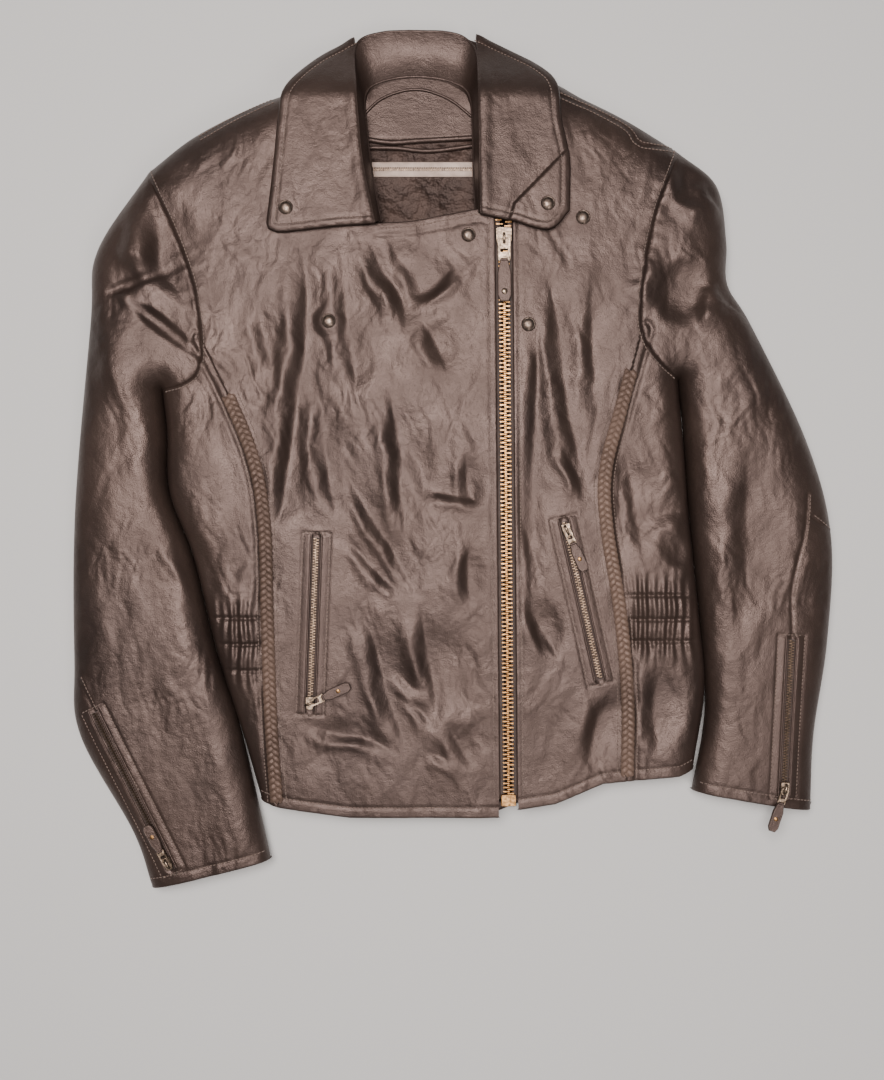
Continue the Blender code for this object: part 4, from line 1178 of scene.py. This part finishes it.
def build_main_zip():
    top, bottom = (Vector((x, y, crown(y))) for x, y in MAIN_ZIP)
    matrix = line_frame(top, bottom, 0.0)
    length = (bottom - top).length
    for side, name in ((1, "right"), (-1, "left")):
        build = Build()
        left, right = sorted((side * 0.0042, side * 0.0165))
        build.plate(corners_of(left, right, -0.003, length + 0.004), -0.0042, -0.0032, matrix, 0.0002)
        cord = [(side * 0.0046, -0.002, -0.0030), (side * 0.0046, length, -0.0030)]
        build.sweep(in_frame(cord, matrix), 0.0011, 0.0014, 10)
        build.show(f"{name}_tape_woven", "tape", "torso", "zip_tape", f"{name}_zip_tape")
        build = Build()
        for tooth in range(int(length / TOOTH_PITCH)):
            y = (tooth + (0.5 if side > 0 else 1.0)) * TOOTH_PITCH
            apart = 0.0030 * max(0.0, 1 - y / 0.014)
            outline = [(side * (apart + across), y + along) for across, along in mm(TOOTH)]
            build.plate(outline, -0.0046, -0.0012, matrix, 0.0003)
        build.show(f"{name}_teeth_brass", "brass", "torso", "antique_brass", f"{name}_zip_teeth")
    build = Build()
    box = rounded(-0.0066, 0.0066, length + 0.0004, length + 0.0108, 0.0012, 5)
    build.plate(box, -0.0052, -0.0004, matrix, 0.0005)
    build.show("retainer_box_brass", "brass", "torso", "antique_brass", "zip_retainer_box")

    middle = matrix @ Matrix.Translation((0, MAIN_SLIDER, 0))
    slider_top = middle @ Matrix.Translation((0, 0, 0.0006))
    build = Build()
    add_slider(build, middle, 0.0072, 0.0180, -0.0050, 0.0008)
    add_bail(build, slider_top)
    build.show("main_slider_metal", "bright_metal", "main_slider_body", "dark_metal", "main_slider")
    build_puller("main", slider_top, MAIN_LINK, MAIN_TAB, ("main_pull_link", "main_puller"))
    build = Build()
    build.lathe(None, mm(((2.6, 0), (2.6, 0.6), (1.8, 1.1), (0.3, 1.3))), 20,
                slider_top @ Matrix.Translation((0, MAIN_RIVET, 0.0024)))
    build.show("main_tab_rivet", "bright_metal", "main_puller", "antique_brass", "main_puller_rivet")


def build_small_teeth(ends, along, across):
    """The closed teeth of a small zip, from its two sides in turn."""
    count = 2 * int(np.hypot(*(ends[1] - ends[0])) / SMALL_TOOTH_PITCH)
    tooth = ((-0.00052, -0.0006), (-0.00052, 0.0024), (0.00052, 0.0024), (0.00052, -0.0006))
    plans = []
    for number in range(count):
        side = 1 if number % 2 else -1
        at = ends[0] + along * ((number + 0.5) * SMALL_TOOTH_PITCH / 2)
        plans.append([at + along * u + across * (side * v) for u, v in tooth][::side])
    plans = np.array(plans)
    floors = plain_top(plans.reshape(-1, 2)).reshape(count, len(tooth))
    build = Build()
    for plan, floor in zip(plans, floors):
        cap = plan.mean(0) + (plan - plan.mean(0)) * 0.8
        build.rings([np.column_stack([plan, floor - 0.0010]), np.column_stack([plan, floor + 0.0004]),
                     np.column_stack([cap, floor + 0.0008])])
    return build


def build_small_zip(name, ends, share, turn, body, lift):
    """A pocket or cuff zip: tape, teeth, welts with their stitching, slider and puller."""
    start, end = (Vector((*point, z)) for point, z in zip(ends, plain_top(ends)))
    matrix = line_frame(start, end, lift)
    along = (ends[1] - ends[0]) / np.hypot(*(ends[1] - ends[0]))
    across = np.array([-along[1], along[0]])

    half_tape = across * 0.0044
    tape = closed_loop([ends[0] - half_tape, ends[0] + half_tape, ends[1] + half_tape, ends[1] - half_tape])
    place(slab(f"{name}_tape_woven", tape, below(0.0010), 0.0012, 0.0030, LOOKS["tape"]), body, "zip_tape")
    teeth = build_small_teeth(ends, along, across)
    teeth.show(f"{name}_teeth_brass", "dull_brass", body, "antique_brass", f"{name}_zip")

    build = Build()
    stitches = Build()
    for side in (-1, 1):
        lip = np.array([ends[0] - along * 0.003, ends[1] + along * 0.003]) + across * (0.0046 * side)
        plan, _ = at_lengths(lip, np.arange(0, length_of(lip), 0.003))
        build.sweep(np.column_stack([plan, plain_top(plan) - 0.0003]), 0.0009, 0.0009, 10)
        border = np.array([ends[0] - along * 0.004, ends[1] + along * 0.004]) + across * (WELT_HALF * side)
        add_stitches(stitches, border, top_surface)
    for point, sign in zip(ends, (-1, 1)):
        border = point + along * (WELT_END * sign) + np.array([[-1], [1]]) * across * 0.0115
        add_stitches(stitches, border, top_surface)
    build.show(f"{name}_welts", "leather", body, "black_leather")
    stitches.show(f"{name}_welt_stitching", "thread", body, "black_leather")

    middle = matrix @ Matrix.Translation((0, share * (end - start).length, 0))
    local = middle.to_3x3() @ Vector((0, 1, 0))
    turn = math.radians(turn) - math.atan2(local.y, local.x)
    slider_top = middle @ Matrix.Translation((0, 0, 0.0036)) @ Matrix.Rotation(turn, 4, "Z")
    build = Build()
    add_slider(build, middle, 0.0040, 0.0110, 0.0013, 0.0037)
    add_bail(build, slider_top)
    build.show(f"{name}_slider_metal", "bright_metal", f"{name}_slider_body", "dark_metal", f"{name}_slider")
    build_puller(name, slider_top, SMALL_LINK, SMALL_TAB, (f"{name}_pull_link", f"{name}_puller"))


def corners_of(left, right, low, high):
    return np.array([(left, low), (right, low), (right, high), (left, high)])


def above(rise):
    """A surface that lies above the lower shell's."""
    return lambda points: plain_under(points) + rise


def below(drop):
    """A surface that lies below the upper shell's."""
    return lambda points: plain_top(points) - drop


# Outlines of the linings, the neck facing, the pockets and the elastics, in millimetres
BACK_LINING = ((-215, 50), (-200, 150), (-185, 215), (-120, 270), (-84, 300), (24, 300), (100, 270),
               (145, 215), (140, 130), (160, 55), (172, -180), (165, -250), (60, -290), (-120, -290),
               (-160, -180))
RIGHT_LINING = ((-228, 50), (-205, 215), (-130, 265), (-88, 262), (-76, 196), (26, 196), (31, -285),
                (-140, -285), (-158, -180))
LEFT_LINING = ((184, 55), (150, 130), (160, 230), (95, 270), (33, 262), (40, 222), (67, 205), (70, -280),
               (142, -262), (142, -180))
NECK_FACING = ((-84, 284), (24, 284), (24, 325), (6, 340), (-33, 346), (-70, 340), (-86, 325))
RIGHT_POCKET = corners_of(-112, -32, -225, -70)
LEFT_POCKET = corners_of(66, 130, -225, -70)
RIGHT_ELASTIC = corners_of(-186, -169, -190, -142)
LEFT_ELASTIC = corners_of(154, 175, -168, -118)
# Sewn edges inside the neck: points in millimetres and the edge's radius
NECK_PIPING = ((((-80, 285), (-55, 281.5), (-30, 283), (22, 286)), 2.4),
               (((-80, 277), (-50, 276.5), (-20, 274), (22, 279)), 2.0),
               (((-82, 303), (-62, 321), (-33, 329), (-4, 321), (20, 303)), 1.3))
SLEEVE_LINING_TOP = -0.02     # the sleeve linings show in the cuffs only, so they start below the elbow
SLEEVE_LINING_INSET = 0.017


def build_inside():
    """Linings, neck facing, pocket bags and waist elastics."""
    satin = ("satin", "lining_fabric")
    fabric = ("fabric", "black_fabric")
    leather = ("leather", "black_leather")
    pieces = (
        ("back_lining", BACK_LINING, above(0.0062), 0.0012, satin, (0.43, 0.57), 0.19),
        ("right_front_lining", RIGHT_LINING, below(0.0110), 0.0012, satin, (0.27, 0.56), 0.10),
        ("left_front_lining", LEFT_LINING, below(0.0110), 0.0012, satin, (0.16, 0.56), 0.055),
        ("neck_facing", NECK_FACING, above(0.0075), 0.0016, leather, (0.10, 0.07), 0.0044),
        ("right_pocket_bag", RIGHT_POCKET, below(0.0062), 0.0022, fabric, (0.08, 0.16), None),
        ("left_pocket_bag", LEFT_POCKET, below(0.0062), 0.0022, fabric, (0.065, 0.16), None),
        ("right_waist_elastic", RIGHT_ELASTIC, below(0.0050), 0.0016, fabric, (0.017, 0.05), None),
        ("left_waist_elastic", LEFT_ELASTIC, below(0.0050), 0.0016, fabric, (0.021, 0.05), None),
    )
    for name, outline, surface, thick, (material, slot), flat, area in pieces:
        piece = slab(f"{name}_cloth", closed_loop(mm(outline)), surface, thick, COARSE, LOOKS[material])
        place(piece, "torso", slot, name)


def build_neck():
    """The zip strip that a liner is fastened to, and the sewn edges around it."""
    outline = closed_loop(corners_of(-0.080, 0.022, 0.2515, 0.2640))
    strip = slab("liner_zip_cloth", outline, above(0.0076), 0.0014, 0.003, LOOKS["grey_zip"])
    place(strip, "torso", "grey_zip", "liner_zip_strip")
    teeth = Build()
    for tooth in range(64):
        x = -0.079 + tooth * 0.0016
        base = plain_under(np.array([[x, 0.2578]]))[0] + 0.0080
        loop = ((x, 0.2563, base), (x + 0.0002, 0.2578, base + 0.0006), (x, 0.2593, base))
        teeth.sweep(loop, 0.0005, 0.0005, 6)
    teeth.show("liner_zip_coil", "dull_brass", "torso", "grey_zip")
    piping = Build()
    for points, radius in NECK_PIPING:
        plan = spline(mm(points), 0.002)
        piping.sweep(np.column_stack([plan, plain_under(plan) + 0.0082]), mm(radius), mm(radius), 10)
    piping.show("neck_piping", "leather", "torso", "black_leather")


def build_sleeve_linings():
    for side, sign in zip(SIDES, (-1, 1)):
        inset = np.array([sign * SLEEVE_LINING_INSET, 0])
        outer, inner = (line[line[:, 1] < SLEEVE_LINING_TOP][:-1]
                        for line in (CURVES[f"{side}_outer"], CURVES[f"{side}_inner"]))
        outline = closed_loop(inner + inset, (outer - inset)[::-1])
        upper = slab(f"{side}_sleeve_lining_cloth", outline, below(0.0130), 0.0012, COARSE, LOOKS["satin"])
        lower = slab("lower", outline, above(0.0050), 0.0012, COARSE, LOOKS["satin"])
        with bpy.context.temp_override(active_object=upper, selected_editable_objects=[upper, lower]):
            bpy.ops.object.join()
        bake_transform(upper)
        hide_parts(f"{side}_sleeve_lining")


def build_stitching():
    """Topstitching beside the zip, seams and hems."""
    hem = CURVES["hem"] + np.array([0, HEM_WIDTH])
    lines = [zip_edge(side, ZIP_STITCH) for side in (-1, 1)]
    lines += [beside(CURVES[name], away) for name, away in (
        ("right_armhole", 0.0030), ("left_armhole", -0.0030), ("right_yoke_seam", 0.0028),
        ("left_yoke_seam", 0.0028), ("right_yoke_seam", -0.0028), ("left_yoke_seam", -0.0028))]
    lines += [hem[:4], hem[4:]]
    lines += [beside(stretch(f"{side}_princess", start), away)
              for side, start in BRAID_STARTS.items() for away in (-0.0085, 0.0085)]
    lines.append(beside(CURVES["right_flap"], 0.0036))
    torso = Build()
    for line in lines:
        add_stitches(torso, line, top_surface)
    torso.show("torso_stitching", "thread", "torso", "black_leather")
    for side, seams in (("right", ("right_elbow_seam",)), ("left", ("left_sleeve_seam", "left_elbow_seam"))):
        build = Build()
        for line in [beside(CURVES[name], 0.0026) for name in seams] + [CUFF_LINES[side]]:
            add_stitches(build, line, top_surface)
        build.show(f"{side}_sleeve_stitching", "thread", f"{side}_sleeve", "black_leather")


VIEW_CENTER = Vector((-0.0088, -0.0737, 0.030))
VIEW_WIDTH = 0.775            # what the picture's width spans at the middle of the jacket
CAMERA_HEIGHT = 1.12          # above that middle
FLOOR_HALF = 9
LIGHT_COLOR = (1.0, 0.90, 0.84)
LIGHTS = {"key": ((-0.22, 0.22, 2.15), (0.95, 1.20), 84.0), "fill": ((0.5, -0.9, 1.7), (0.8, 0.8), 12.0)}


def add_to_scene(name, data, location):
    obj = bpy.data.objects.new(name, data)
    obj.location = location
    bpy.context.collection.objects.link(obj)
    return obj


def build_stage():
    """A plain floor, a camera straight above the jacket, two soft lights and a faint sky."""
    corners = [(x * FLOOR_HALF, y * FLOOR_HALF, 0) for x, y in ((-1, -1), (1, -1), (1, 1), (-1, 1))]
    floor = new_mesh("floor", corners, [(0, 1, 2, 3)], False)
    nodes = Nodes("floor_paper")
    nodes.shader.inputs["Base Color"].default_value = (0.50, 0.52, 0.53, 1.0)
    nodes.shader.inputs["Roughness"].default_value = 0.8
    floor.data.materials.append(nodes.material)

    data = bpy.data.cameras.new("camera")
    data.sensor_fit = "HORIZONTAL"
    data.lens = data.sensor_width * CAMERA_HEIGHT / VIEW_WIDTH
    bpy.context.scene.camera = add_to_scene("camera", data, VIEW_CENTER + Vector((0, 0, CAMERA_HEIGHT)))

    for name, (spot, size, power) in LIGHTS.items():
        lamp = bpy.data.lights.new(name, "AREA")
        lamp.shape = "RECTANGLE"
        lamp.size, lamp.size_y = size
        lamp.energy = power
        lamp.color = LIGHT_COLOR
        light = add_to_scene(name, lamp, spot)
        light.rotation_euler = (-Vector(spot)).to_track_quat("-Z", "Y").to_euler()
    world = bpy.data.worlds.new("studio")
    world.use_nodes = True
    sky = world.node_tree.nodes["Background"].inputs
    sky["Color"].default_value = (0.80, 0.82, 0.85, 1.0)
    sky["Strength"].default_value = 0.12
    bpy.context.scene.world = world


def main():
    build_stage()
    build_shell()
    build_sleeves()
    build_braids()
    for side in SIDES:
        build_leaf(side)
    build_stand()
    build_studs()
    build_main_zip()
    for name, zipper in SMALL_ZIPS.items():
        build_small_zip(name, *zipper)
    build_inside()
    build_neck()
    build_sleeve_linings()
    build_stitching()


main()
